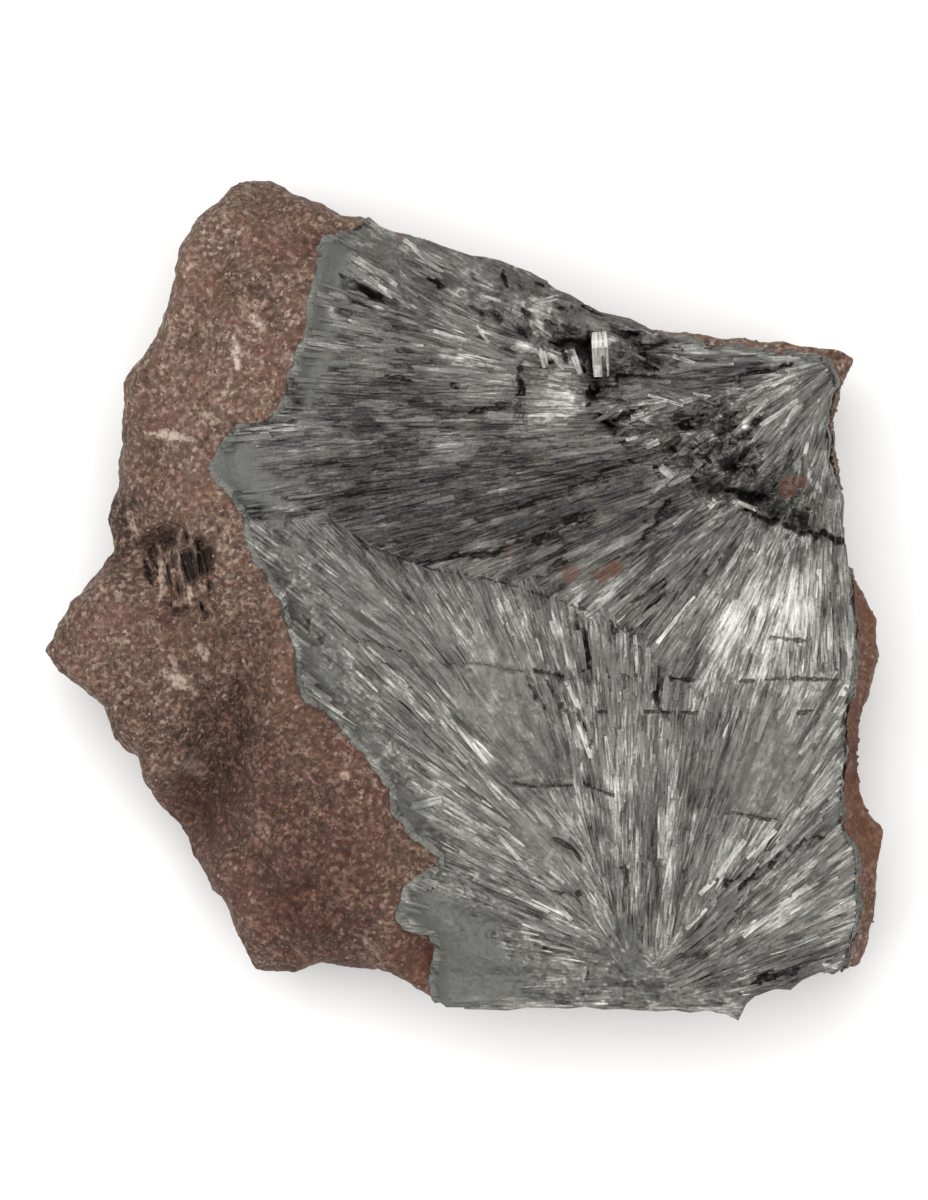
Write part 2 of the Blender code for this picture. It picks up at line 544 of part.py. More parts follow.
def free_edge_share(point):
    """1 on the crystals' free edges and 0 where rock stands beside them."""
    free = min(nearest_on_line(point, line)[0] for line in (CRYSTAL_BOTTOM, CRYSTAL_NOTCH, CRYSTAL_TOP))
    held = min(nearest_on_line(point, line)[0] for line in (CONTACT, CRYSTAL_RIGHT, CRYSTAL_UPPER_RIGHT))
    return 1.0 if free < held else 0.0


def make_crystals(outline, rng):
    """Both sprays as one body: a bladed face over sides that go down to the bed."""
    free = [free_edge_share(point) for point in outline]
    rim = drawn_in(outline, CRYSTAL_CENTRE, [0.25 + 0.35 * share for share in free])
    plan = BladePlan(rim, rng)
    plan.lay(UPPER_CRYSTALS, True, 9000)
    plan.lay(LOWER_CRYSTALS, False, 9000)
    tree, lifts = blade_lifts(plan.blades, rim, rng)
    cracks = [(line, CRACK_HALF_WIDTH) for line, _, _ in LEDGES]
    lines = plan.blades + stroke_lines(cracks, rim) + stroke_lines(FACE_HOLLOWS, rim)
    places, faces, rim_order = sheet(rim, lines, [])
    top = []
    for place in places:
        _, index, distance = tree.find((place.x, place.y, 0.0))
        lift = lifts[index] if distance < 0.4 * BLADE_SPACING else 0.0
        top.append((place.x, place.y, face_height(place) + lift))
    foot = BED_HEIGHT + GAP
    heights = [top[order][2] for order in rim_order]
    rings = []
    for drop, inset, chip in CRYSTAL_SIDES:
        insets = [(inset + rng.uniform(0.0, chip)) * share for share in free]
        ring = []
        for height, point in zip(heights, drawn_in(outline, CRYSTAL_CENTRE, insets)):
            ring.append((point.x, point.y, height + (foot - height) * drop))
        rings.append(ring)
    return closed_solid("pyrolusite_sprays", top, faces, rim_order, rings)


def make_bed_cutter(outline):
    """The room that the crystals take out of the rock, with the clearance round them."""
    outer = grown(outline, GAP)
    floor = [(point.x, point.y, BED_HEIGHT) for point in outer]
    lid = [(point.x, point.y, CUT_TOP) for point in outer]
    loop = list(range(len(outer)))
    cutter = closed_solid("bed_cutter", lid, [loop], loop, [floor])
    cutter.hide_render = True
    cutter.display_type = "WIRE"
    return cutter


def make_rock(outline, crystals, rng):
    """The rock as one body: a lumpy top over broken sides and a flat underside."""
    hidden = grown(crystals, -1.5)
    on_left = [min(max((-point.x - 2.0) / 12.0, 0.0), 1.0) for point in outline]
    rim = drawn_in(outline, CENTRE, [0.25 + 0.95 * share for share in on_left])
    lines = stroke_lines(ROCK_HOLLOWS, rim)

    def keep(point):
        if edge_distance(point, rim) < 0.8 or is_inside(point, hidden):
            return False
        return all(nearest_on_line(point, line)[0] > 0.8 for line in lines)

    points = scattered(rim, ROCK_STEP, keep, rng)
    points += scattered(hidden, 9.0, lambda point: edge_distance(point, hidden) > 2.0, rng)
    places, faces, rim_order = sheet(rim, lines, points)
    floor = BED_HEIGHT + 1.0
    top = []
    for place in places:
        is_covered = is_inside(place, crystals)
        height = rock_height(place)
        top.append((place.x, place.y, max(height, floor) if is_covered else height))
    heights = [top[order][2] for order in rim_order]
    rings = [rock_ring(outline, heights, band, rng) for band in ROCK_SIDES]
    return closed_solid("host_rock", top, faces, rim_order, rings)


def rock_ring(outline, heights, band, rng):
    """One ring of points round the rock's broken side, at a share of the height of its top edge."""
    share, inset, wander, chip = band
    insets = []
    for point in outline:
        place = Vector((point.x, point.y, 24.0 * share))
        broad = noise.noise(place / SIDE_LUMP) + 0.5 * noise.noise(place / SIDE_CHIP)
        insets.append(max(inset + wander * broad + rng.uniform(-chip, chip), LEAST_INSET))
    ring = []
    for height, point in zip(heights, drawn_in(outline, CENTRE, insets)):
        drop = rng.uniform(-chip, chip) if share > 0.0 else 0.0
        ring.append((point.x, point.y, height * share + drop))
    return ring


def cut_bed(rock, cutter):
    """Take the crystals' room out of the rock."""
    cut = rock.modifiers.new("bed", "BOOLEAN")
    cut.operation = "DIFFERENCE"
    cut.solver = "EXACT"
    cut.object = cutter


def paint(body, name, colour, roughness, metallic):
    """Give a body its own plain material."""
    material = bpy.data.materials.new(name)
    material.use_nodes = True
    shader = material.node_tree.nodes["Principled BSDF"]
    shader.inputs["Base Color"].default_value = (*colour, 1.0)
    shader.inputs["Roughness"].default_value = roughness
    shader.inputs["Metallic"].default_value = metallic
    body.data.materials.append(material)


def main():
    """Build the rock and the crystals that sit in it."""
    for old in list(bpy.data.objects):
        bpy.data.objects.remove(old)
    crystals_plan = crystal_outline(random.Random(11))
    crystals = make_crystals(crystals_plan, random.Random(23))
    rock = make_rock(rock_outline(random.Random(37)), crystals_plan, random.Random(41))
    cut_bed(rock, make_bed_cutter(crystals_plan))
    paint(crystals, "steel_grey_pyrolusite", (0.19, 0.20, 0.20), 0.38, 0.85)
    paint(rock, "sandy_red_brown_rock", (0.17, 0.075, 0.05), 0.92, 0.0)


main()
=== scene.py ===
"""Looks of a raw pyrolusite specimen: sprays of steel-grey crystals on sandy red-brown rock.

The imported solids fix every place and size, in metres. Plan sizes below are in millimetres in the same
frame: +X runs across the face from the bare rock to the crystals, +Y runs up the face, +Z points out of
it. Each CAD node is replaced by pieces that carry its real surface: the sprays by a combed ground and
thousands of single blades, the rock by a grained skin and loose sand grains.
"""

import itertools
import logging
import math
from collections.abc import Callable
from dataclasses import dataclass
from enum import Enum
from functools import partial

import bmesh
import bpy
import numpy as np
from bmesh.types import BMesh
from bpy.types import ID, ColorRamp, Material, Mesh, Node, NodeOutputs, NodeSocket, NodeTree, Object
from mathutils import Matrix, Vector, noise
from mathutils.bvhtree import BVHTree
from numpy.random import Generator


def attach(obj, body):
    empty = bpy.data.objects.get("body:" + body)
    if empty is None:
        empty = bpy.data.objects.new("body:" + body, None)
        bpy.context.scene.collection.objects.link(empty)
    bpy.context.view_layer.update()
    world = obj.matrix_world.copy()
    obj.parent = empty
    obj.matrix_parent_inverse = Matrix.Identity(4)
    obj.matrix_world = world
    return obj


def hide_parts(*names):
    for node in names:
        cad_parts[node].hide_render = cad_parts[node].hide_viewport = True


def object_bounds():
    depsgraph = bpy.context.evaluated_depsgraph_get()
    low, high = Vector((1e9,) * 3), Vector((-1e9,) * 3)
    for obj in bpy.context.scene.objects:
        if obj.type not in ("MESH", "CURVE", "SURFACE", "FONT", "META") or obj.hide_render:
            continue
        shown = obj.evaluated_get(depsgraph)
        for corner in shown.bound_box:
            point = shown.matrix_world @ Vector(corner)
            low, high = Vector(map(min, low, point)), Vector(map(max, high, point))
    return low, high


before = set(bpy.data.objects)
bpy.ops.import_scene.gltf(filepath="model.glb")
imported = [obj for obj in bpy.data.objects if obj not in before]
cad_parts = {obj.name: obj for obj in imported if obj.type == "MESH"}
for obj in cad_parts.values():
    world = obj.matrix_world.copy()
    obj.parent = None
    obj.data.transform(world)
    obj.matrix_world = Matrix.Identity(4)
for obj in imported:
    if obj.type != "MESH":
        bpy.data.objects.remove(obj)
cad_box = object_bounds()

MM = 0.001
BED_HEIGHT = 14.0        # the flat bed in the rock under the crystals
FACE_FOOT = 15.0         # the rock's upper face and its pits lie above this height
MIDDLE_TONE = 0.47       # how light the crystals are where nothing makes them lighter or darker
BOX_MARGIN = 0.01        # how far the pieces stay inside the solids' box
Points = np.ndarray
Grid = np.ndarray
log = logging.getLogger("pyrolusite")


class Spray(Enum):
    """The two sprays that grew into each other, by the side of their boundary that they fill."""

    UPPER = "upper"
    LOWER = "lower"


# Single crystals that set the growth direction: outer end x, y, inner end x, y
UPPER_CRYSTALS = (
    (-7.2, 35.9, 13.8, 25.4), (-1.2, 32.9, 9.8, 24.9), (-13.2, 34.4, 1.8, 25.4), (-15.2, 29.9, 9.8, 23.9),
    (-16.2, 24.9, 17.8, 21.4), (-17.2, 21.4, 23.8, 19.9), (-21.2, 16.9, 17.8, 18.4),
    (-22.2, 12.9, 19.8, 16.9), (-20.8, 9.9, 21.8, 15.9), (-12.2, 7.9, 22.8, 14.9), (-3.2, 3.4, 23.8, 12.9),
    (5.8, 1.4, 25.8, 11.9), (13.8, -1.1, 27.8, 10.9), (18.8, -5.1, 29.8, 9.9), (22.8, -7.6, 31.8, 8.9),
    (28.2, -8.1, 33.8, 6.9), (33.8, -8.1, 34.2, 5.9), (38.2, -9.1, 37.5, 5.9), (37.2, 23.4, 27.8, 12.9),
    (37.5, 19.9, 33.8, 7.9), (37.5, 15.9, 37.2, 7.9), (36.8, 23.1, 23.8, 15.9), (35.8, 23.7, 18.8, 19.9),
    (36.8, 24.1, 17.8, 24.9),
)
LOWER_CRYSTALS = (
    (-18.8, 4.9, -6.2, -4.1), (-13.2, 6.4, -2.2, -5.1), (-6.2, 2.9, 0.8, -8.1), (1.8, 1.4, 7.8, -12.1),
    (8.8, -0.6, 12.8, -18.1), (12.8, -4.1, 14.9, -25.1), (16.9, -5.1, 16.8, -33.1),
    (20.2, -9.1, 18.6, -30.1), (24.2, -9.1, 20.9, -28.1), (28.8, -9.1, 22.8, -28.1),
    (33.8, -9.1, 26.8, -25.1), (38.2, -10.1, 29.8, -23.1), (38.8, -19.1, 27.8, -30.1),
    (39.2, -27.1, 23.8, -37.1), (39.2, -33.1, 22.8, -39.1), (-15.2, -9.1, 0.8, -20.1),
    (-11.2, -4.1, 9.8, -25.1), (-6.2, -20.1, 9.8, -29.1), (-4.2, -26.1, 11.8, -33.1),
    (-3.2, -33.1, 13.8, -36.1), (-1.2, -39.1, 15.8, -38.6), (10.8, -28.1, 15.8, -36.1),
    (26.8, -40.6, 17.8, -40.1),
)
# Where the upper spray meets the lower one, from the left edge to the right
SPRAY_BOUNDARY = (
    (-25.8, 9.1), (-21.2, 7.9), (-13.2, 7.9), (-9.2, 5.4), (-3.2, 2.9), (1.8, 2.1), (5.8, 1.1),
    (13.8, -1.6), (17.8, -4.6), (20.8, -8.1), (27.8, -8.3), (45.0, -7.9),
)
# Thin cracks that break the blades across
CRACKS = (
    ((23.0, -8.1), (20.8, -7.9)), ((17.6, -7.6), (14.6, -7.8)), ((11.0, -8.3), (9.5, -7.5), (7.0, -7.1)),
    ((4.6, -6.7), (-0.2, -6.3), (-2.6, -6.2)), ((27.8, -8.3), (32.0, -7.9), (38.6, -8.1)),
    ((6.2, -11.4), (9.0, -11.1)), ((12.2, -11.3), (17.8, -11.2), (25.8, -11.4), (30.6, -11.0)),
    ((33.4, -11.4), (36.8, -10.9)), ((11.2, -18.6), (7.0, -18.7), (4.2, -18.2)),
    ((12.1, -18.5), (15.0, -19.6)), ((23.6, -21.2), (26.4, -21.2), (30.2, -22.0), (32.2, -21.9)),
    ((9.2, -23.9), (11.2, -25.1), (12.4, -27.4), (13.6, -29.3)),
    ((8.2, -34.9), (12.8, -35.9), (12.2, -39.1)), ((13.2, -30.1), (13.4, -35.6)),
    ((30.8, -3.8), (34.2, -4.2)), ((-6.2, -5.2), (-9.6, -4.2)), ((13.4, -29.2), (15.4, -29.2)),
    ((-3.0, -9.6), (-0.6, -9.8)),
)


@dataclass(frozen=True)
class Patch:
    """A soft round patch of the plan, in millimetres, with how strongly it counts."""

    x: float
    y: float
    radius: float
    amount: float

    def share(self, x: Points, y: Points) -> Points:
        """How much of the patch is felt at each place, from 0 to its amount."""
        distance = np.hypot(x - self.x, y - self.y) / self.radius
        return self.amount * np.exp(-distance ** 2)


@dataclass(frozen=True)
class Stroke:
    """A line in plan, in millimetres, with its half width and how strongly it counts."""

    points: tuple[tuple[float, float], ...]
    half_width: float
    amount: float

    def share(self, x: Points, y: Points) -> Points:
        """How much of the stroke, which tapers to both ends, is felt at each place.

        Args:
            x, y: the places' coordinates.

        Returns:
            The shares, from 0 to the stroke's amount.
        """
        (x1, y1), (x2, y2) = self.points[0], self.points[-1]
        width = self.half_width
        if math.hypot(x2 - x1, y2 - y1) > 3.0 * width:
            end = np.minimum(np.hypot(x - x1, y - y1), np.hypot(x - x2, y - y2))
            width = width * (0.3 + 0.7 * smooth_share(end, 0.0, 3.5 * width))
        return self.amount * np.exp(-(line_distance(self.points, x, y) / width) ** 4)


def patches(*rows: tuple[float, float, float, float]) -> tuple[Patch, ...]:
    """Patches from rows of x, y, radius and amount."""
    return tuple(Patch(*row) for row in rows)


def strokes(*rows: tuple[float, ...]) -> tuple[Stroke, ...]:
    """Strokes from rows of half width, amount, and then x and y of each point."""
    return tuple(Stroke(tuple(zip(row[2::2], row[3::2])), *row[:2]) for row in rows)


# Open gaps and holes between the crystals, with their depth as the amount
CLEFTS = strokes(
    (0.3, 0.7, 6.0, 23.6, 5.8, 21.4, 5.4, 19.9), (0.22, 0.4, 5.9, 19.9, 6.1, 18.1),
    (0.22, 0.4, 0.5, 18.9, 2.3, 19.1, 5.8, 19.3), (0.45, 1.0, 12.8, 21.4, 12.9, 19.4),
    (0.22, 0.6, 13.0, 20.9, 15.0, 21.4, 15.8, 22.1, 20.2, 22.1),
    (0.55, 1.1, 12.1, 22.7, 12.2, 25.2, 12.6, 26.7), (0.25, 0.7, 8.7, 25.4, 11.2, 25.8, 12.2, 26.1),
    (0.45, 0.9, 10.0, 24.7, 10.5, 23.4), (0.3, 0.6, 8.1, 23.1, 8.6, 23.7),
    (0.28, 0.45, 2.4, 28.7, 4.0, 27.9), (0.3, 0.5, 5.2, 27.3, 6.7, 26.0), (0.26, 0.5, 6.2, 28.9, 6.5, 28.3),
    (0.25, 0.5, 9.2, 29.1, 12.7, 28.8, 13.7, 28.1), (0.3, 0.7, 10.0, 27.6, 11.0, 26.9, 12.4, 26.8),
    (0.36, 0.8, 14.7, 27.2, 16.2, 26.6, 17.7, 26.4), (0.5, 0.9, 17.9, 24.1, 18.7, 23.3),
    (0.26, 0.6, 17.7, 24.9, 20.2, 25.4, 21.8, 25.1), (0.34, 0.6, -3.6, 32.0, -1.7, 31.2),
    (0.3, 0.5, 0.8, 32.2, 1.4, 31.9), (0.28, 0.5, 3.9, 33.5, 4.1, 32.4, 4.6, 31.4),
    (0.26, 0.4, 7.2, 32.1, 8.2, 31.4), (0.28, 0.5, 0.7, 29.6, 2.2, 28.6),
    (0.42, 0.7, -11.8, 32.1, -9.6, 30.9, -7.2, 29.5), (0.28, 0.5, -11.8, 30.3, -9.3, 29.0),
    (0.24, 0.4, -7.4, 22.0, -5.5, 21.7), (0.3, 0.5, -1.0, 21.5, -0.8, 21.3),
    (0.24, 0.4, 1.3, 26.6, 2.1, 26.3), (0.42, 0.9, 14.0, 18.2, 14.6, 17.4, 15.3, 17.0),
    (0.28, 0.7, 15.2, 18.1, 16.9, 18.9, 18.2, 19.2), (0.34, 0.8, 21.4, 17.5, 23.2, 17.3),
    (0.28, 0.6, 20.9, 15.4, 21.2, 14.6), (0.32, 0.7, 24.2, 14.3, 25.0, 13.7),
    (0.36, 0.8, 24.1, 13.3, 26.4, 13.6, 28.0, 13.0), (0.3, 0.7, 22.8, 12.4, 23.5, 11.7),
    (0.42, 1.0, 26.6, 10.9, 28.6, 10.5, 30.6, 10.2),
    (0.3, 0.65, 28.2, 8.9, 30.6, 7.9, 33.6, 6.9, 36.0, 6.2, 38.6, 5.4), (0.32, 0.6, 19.3, 13.7, 19.5, 12.2),
    (0.26, 0.5, 28.6, 17.1, 30.6, 18.3), (0.24, 0.5, 26.6, 21.7, 29.3, 22.6, 33.2, 23.3),
    (0.32, 0.4, 5.7, 9.1, 9.2, 10.3, 12.7, 12.1, 17.0, 13.8),
    (0.3, 0.45, -3.5, 3.9, 2.0, 4.5, 5.7, 5.3, 8.4, 6.5, 13.2, 8.8),
    (0.36, 0.4, 17.6, 6.4, 19.1, 7.4, 21.2, 10.7), (0.24, 0.4, 7.5, 1.9, 9.5, 3.6, 10.6, 4.1),
    (0.26, 0.4, 15.8, -0.2, 18.4, 0.6, 21.0, 2.0), (0.2, 0.3, 18.4, -1.0, 21.6, 1.0),
    (0.24, 0.5, 11.4, -1.6, 12.2, -5.2, 12.9, -7.4), (0.22, 0.4, 15.2, -2.6, 15.1, -4.0),
    (0.2, 0.4, 6.3, -7.4, 8.0, -10.8), (0.24, 0.4, 8.2, -7.8, 9.9, -11.0),
    (0.26, 0.4, 19.3, -8.6, 19.8, -11.3), (0.22, 0.4, 11.9, -12.2, 13.0, -15.6),
    (0.22, 0.4, 16.0, -26.5, 16.2, -31.0), (0.22, 0.4, 25.0, -28.6, 28.6, -27.2, 31.4, -26.8),
    (0.2, 0.35, 31.4, -26.8, 34.2, -24.0, 36.2, -23.4), (0.22, 0.4, 27.4, -29.6, 29.2, -27.9),
    (0.26, 0.4, 28.6, -38.6, 34.5, -36.6), (0.22, 0.3, 8.6, -29.4, 12.2, -29.6),
)
# The smooth skin of the sprays' outer surface, kept where the blades were not broken open
SKIN_PATCHES = patches(
    (-22.6, 13.6, 2.6, 1.4), (-20.5, 10.8, 2.4, 1.1), (-13.6, 31.4, 2.2, 1.2), (-13.4, 34.6, 1.8, 1.1),
    (-14.4, 27.6, 1.7, 1.1), (-14.8, 23.4, 1.9, 1.0), (-15.6, 20.2, 1.6, 0.9), (-17.8, 7.4, 2.0, 0.8),
    (-15.6, 17.0, 1.4, 0.6), (-3.6, -31.0, 2.6, 1.2), (0.6, -37.4, 4.2, 1.2), (1.5, -32.0, 3.0, 0.8),
    (6.0, -40.0, 4.0, 0.7), (17.0, -40.0, 5.0, 0.5), (-4.2, -20.8, 1.8, 0.8), (-14.5, -8.0, 1.8, 0.6),
    (-9.0, -15.0, 1.5, 0.5), (-18.6, 4.0, 1.6, 0.6), (-7.5, 35.3, 2.5, 0.6),
) + strokes(
    (1.0, 0.42, -16.8, -1.0, -14.8, -6.5, -11.2, -12.0, -7.4, -17.5, -4.6, -22.0),
)
# Brown stains on the face
STAIN_PATCHES = patches(
    (32.6, 11.2, 1.0, 1.5), (33.9, 11.6, 0.8, 1.2), (13.6, 2.8, 1.1, 1.3), (15.0, 3.1, 1.0, 1.3),
    (10.7, 2.5, 0.9, 1.3), (4.6, 4.6, 0.8, 0.8), (-12.8, 24.0, 0.8, 0.6), (-6.4, 36.2, 0.9, 0.6),
)
# Broken patches, where angular fragments lie every way
CRUMBLE_PATCHES = patches(
    (26.8, 13.2, 4.4, 1.1), (33.0, 9.0, 3.2, 0.9), (23.0, 16.2, 3.2, 0.9), (17.0, 24.2, 3.4, 0.9),
    (10.0, 25.6, 3.0, 0.6), (17.0, 16.6, 2.6, 0.6), (27.0, 18.6, 3.0, 0.5), (27.0, -31.5, 2.5, 0.4),
    (7.6, 28.6, 3.0, 0.6), (3.0, 31.0, 2.6, 0.4), (-6.0, 34.0, 2.5, 0.3),
)
# Matted patches, where the fibres run into a grainy felt
FELT_PATCHES = patches(
    (-18.4, 5.2, 2.4, 1.0), (-16.8, 1.2, 2.6, 1.0), (-14.8, -2.8, 2.7, 1.0), (-13.0, -6.6, 2.6, 0.9),
    (-10.6, -10.6, 2.4, 0.9), (-7.8, -15.5, 2.4, 0.8), (-5.6, -20.0, 2.6, 0.9), (-3.5, -25.5, 2.8, 1.0),
    (-1.5, -30.5, 3.5, 1.0), (1.5, -35.5, 4.2, 1.0), (7.5, -37.0, 4.2, 1.0), (14.0, -39.5, 4.6, 1.0),
    (20.5, -39.2, 4.4, 1.0), (17.5, -36.2, 2.8, 0.8), (27.0, -39.4, 2.8, 0.7), (-13.5, 32.0, 3.4, 0.7),
    (-8.0, 34.4, 3.5, 0.7), (-1.0, 32.4, 3.6, 0.7), (5.0, 30.0, 3.6, 0.8), (-16.4, 18.0, 2.2, 0.8),
    (-15.0, 24.0, 2.2, 0.7), (-22.2, 12.5, 2.8, 0.7), (10.6, 28.2, 2.4, 0.7), (2.0, -30.5, 3.0, 0.5),
) + strokes(
    (2.0, 0.55, -16.4, -1.0, -14.0, -6.5, -10.4, -12.0, -6.6, -17.5, -3.8, -22.0),
)
# Even slabs, where the crystals broke along one smooth face
CALM_PATCHES = patches(
    (4.2, -9.2, 3.0, 1.3), (6.2, -15.0, 3.6, 1.5), (3.0, -4.0, 2.6, 1.0), (1.0, -10.0, 3.0, 0.9),
    (30.2, -18.0, 3.4, 1.4), (31.0, -14.0, 3.4, 0.9), (26.0, -16.5, 2.6, 0.6), (7.6, -23.6, 3.2, 1.2),
    (9.8, -26.6, 2.2, 0.8), (-9.5, -2.0, 3.2, 0.8), (-12.5, 2.0, 3.0, 0.5), (-2.0, -5.0, 3.0, 0.5),
    (15.8, -6.5, 2.2, 0.5), (8.0, 20.5, 2.0, 0.4), (-1.5, 10.5, 2.5, 0.4), (11.6, 28.0, 1.5, 0.9),
    (3.0, -22.0, 2.5, 0.4),
)
# Patches of the face that read lighter (or, with a negative amount, darker) than the rest: partly the
# crystals' own tone, partly painted light and shade where the face turns towards or away from the light
TONE_PATCHES = patches(
    (-6.0, 12.0, 11.0, -0.17), (10.0, 12.0, 9.0, -0.15), (-8.0, 25.0, 10.0, -0.06),
    (16.0, 23.0, 7.0, -0.07), (28.0, -30.0, 8.0, 0.01), (33.0, -38.0, 4.0, -0.12), (33.0, 15.5, 5.0, -0.05),
    (9.4, 19.8, 2.6, 0.17), (33.0, 18.5, 4.5, -0.05), (14.5, -29.5, 5.0, 0.03), (24.0, -12.0, 6.0, -0.04),
    (0.0, -22.0, 8.0, -0.02), (32.5, -1.0, 5.0, 0.28), (26.0, -2.5, 4.0, 0.14), (4.0, 8.2, 5.0, -0.31),
    (-3.0, 7.2, 4.0, -0.29), (-8.0, 13.0, 6.0, -0.16), (12.0, 10.5, 6.0, -0.18), (-14.0, 16.0, 5.0, -0.1),
    (9.5, 20.0, 3.0, 0.2), (27.5, 10.8, 3.6, -0.08), (34.0, 7.4, 2.4, -0.15), (15.0, -6.0, 2.6, -0.12),
    (9.6, -15.0, 2.0, -0.16), (13.0, -26.0, 5.0, 0.02), (31.5, -31.5, 3.5, 0.1), (33.5, -37.0, 3.0, -0.22),
    (-8.0, 22.0, 6.0, -0.08), (11.0, 26.5, 3.0, -0.14), (13.0, -20.0, 5.0, 0.03), (33.0, 19.5, 4.0, 0.02),
    (20.0, 6.0, 4.0, -0.08), (3.0, 23.5, 3.0, 0.08), (18.0, -38.5, 5.0, -0.04), (1.0, 12.0, 2.8, 0.03),
    (23.0, 0.5, 4.0, -0.09), (29.0, -17.0, 4.0, 0.03), (36.0, -20.0, 3.0, -0.08), (6.0, 31.0, 3.0, -0.1),
)
# Bands and slabs along the crystals that read lighter or darker: partly own tone, partly painted light and
# shade of their tilt
TONE_STROKES = strokes(
    (0.4, -0.2, -20.7, 15.5, -15.1, 15.3), (0.35, -0.2, -9.5, 22.1, -5.5, 21.3),
    (0.4, -0.18, -7.1, 19.7, 5.8, 18.9), (0.9, -0.24, -14.3, 13.3, -8.3, 13.7, -3.3, 15.1),
    (0.8, -0.23, -13.5, 9.3, -3.9, 11.3), (0.9, -0.3, -3.9, 5.3, 3.8, 6.9, 12.3, 8.9, 17.9, 12.3),
    (0.7, 0.13, -6.7, 25.7, 1.8, 23.7), (0.4, 0.14, -3.9, 26.9, 0.2, 25.3),
    (0.5, 0.12, -11.5, 34.5, -6.3, 30.9), (0.6, 0.14, 4.7, 5.5, 12.3, 7.7),
    (0.9, 0.08, 12.3, 5.5, 20.9, 8.5), (1.0, -0.22, 16.4, 23.1, 23.8, 23.3, 30.8, 23.7),
    (0.6, -0.14, 0.8, 11.9, 7.8, 14.4, 13.8, 15.9), (0.5, -0.12, -18.0, 11.6, -9.0, 11.4),
    (0.8, 0.12, 13.4, 20.6, 18.2, 20.2), (0.5, 0.14, 14.6, 18.2, 18.8, 18.0),
    (0.7, 0.17, 7.1, 1.0, 11.6, -7.4), (0.35, -0.25, 11.6, -2.1, 12.9, -11.0),
    (1.1, -0.12, 14.7, -2.9, 14.7, -7.3), (0.3, 0.22, 16.0, -3.0, 16.0, -7.4),
    (0.35, -0.22, 16.9, -3.0, 16.9, -7.4), (0.9, -0.2, 19.8, -6.7, 19.8, -10.9),
    (0.8, -0.15, 23.1, -2.3, 23.1, -7.7), (0.8, 0.17, 11.6, -10.1, 13.5, -17.2),
    (0.45, 0.11, -1.0, -12.8, 4.5, -20.8), (0.7, 0.13, 20.5, -20.1, 20.0, -27.9),
    (0.6, 0.1, -4.5, 1.5, -1.4, -3.9), (0.45, 0.13, 2.6, 1.9, 3.9, -1.2),
    (0.6, -0.16, 7.0, -7.4, 8.8, -11.4), (0.45, 0.08, 3.5, -23.9, 11.5, -32.8),
    (0.6, 0.1, 5.7, -28.8, 10.6, -32.8), (0.6, 0.12, 24.9, -29.6, 32.0, -24.8),
    (0.35, -0.14, 12.0, -12.2, 15.0, -24.0), (0.7, -0.12, 10.4, -15.6, 11.6, -18.4),
    (0.5, 0.1, 27.4, -33.4, 36.0, -29.4), (0.6, -0.16, 26.0, -35.0, 36.0, -33.4),
    (0.6, -0.28, 5.7, 9.3, 11.0, 11.1, 17.4, 13.8), (0.35, -0.16, -14.0, 18.6, -7.0, 18.5),
    (0.35, -0.16, -12.0, 16.4, -4.0, 17.0), (0.3, -0.18, -3.0, 16.9, 5.0, 17.3),
    (0.4, -0.14, -17.0, 9.9, -11.0, 10.3), (0.6, -0.24, -9.0, 7.6, -1.0, 9.0),
    (0.3, 0.12, -6.0, 15.9, 2.0, 16.5), (0.4, 0.12, -1.0, 10.2, 6.0, 11.6),
    (0.3, 0.1, -12.5, 14.9, -6.0, 15.6), (0.45, -0.2, 8.0, 13.4, 15.0, 15.0),
    (0.35, 0.1, -5.0, 6.2, 4.0, 8.0), (0.3, -0.14, -16.0, 21.2, -9.0, 20.4),
    (0.3, 0.12, 9.0, 9.3, 15.6, 11.4), (0.35, 0.1, -1.0, 14.2, 6.0, 14.9),
    (0.6, -0.2, -10.5, 5.6, 3.8, 8.9, 10.8, 11.9, 18.9, 14.9),
    (0.7, -0.2, -7.2, 3.9, -0.2, 4.4, 6.8, 6.5, 17.8, 11.9), (0.35, 0.2, -0.5, 6.9, 7.5, 9.2, 15.5, 12.4),
    (0.8, 0.11, -2.5, 11.4, 5.5, 12.8), (0.3, 0.18, 2.5, 5.2, 8.5, 7.0, 14.0, 9.4),
)
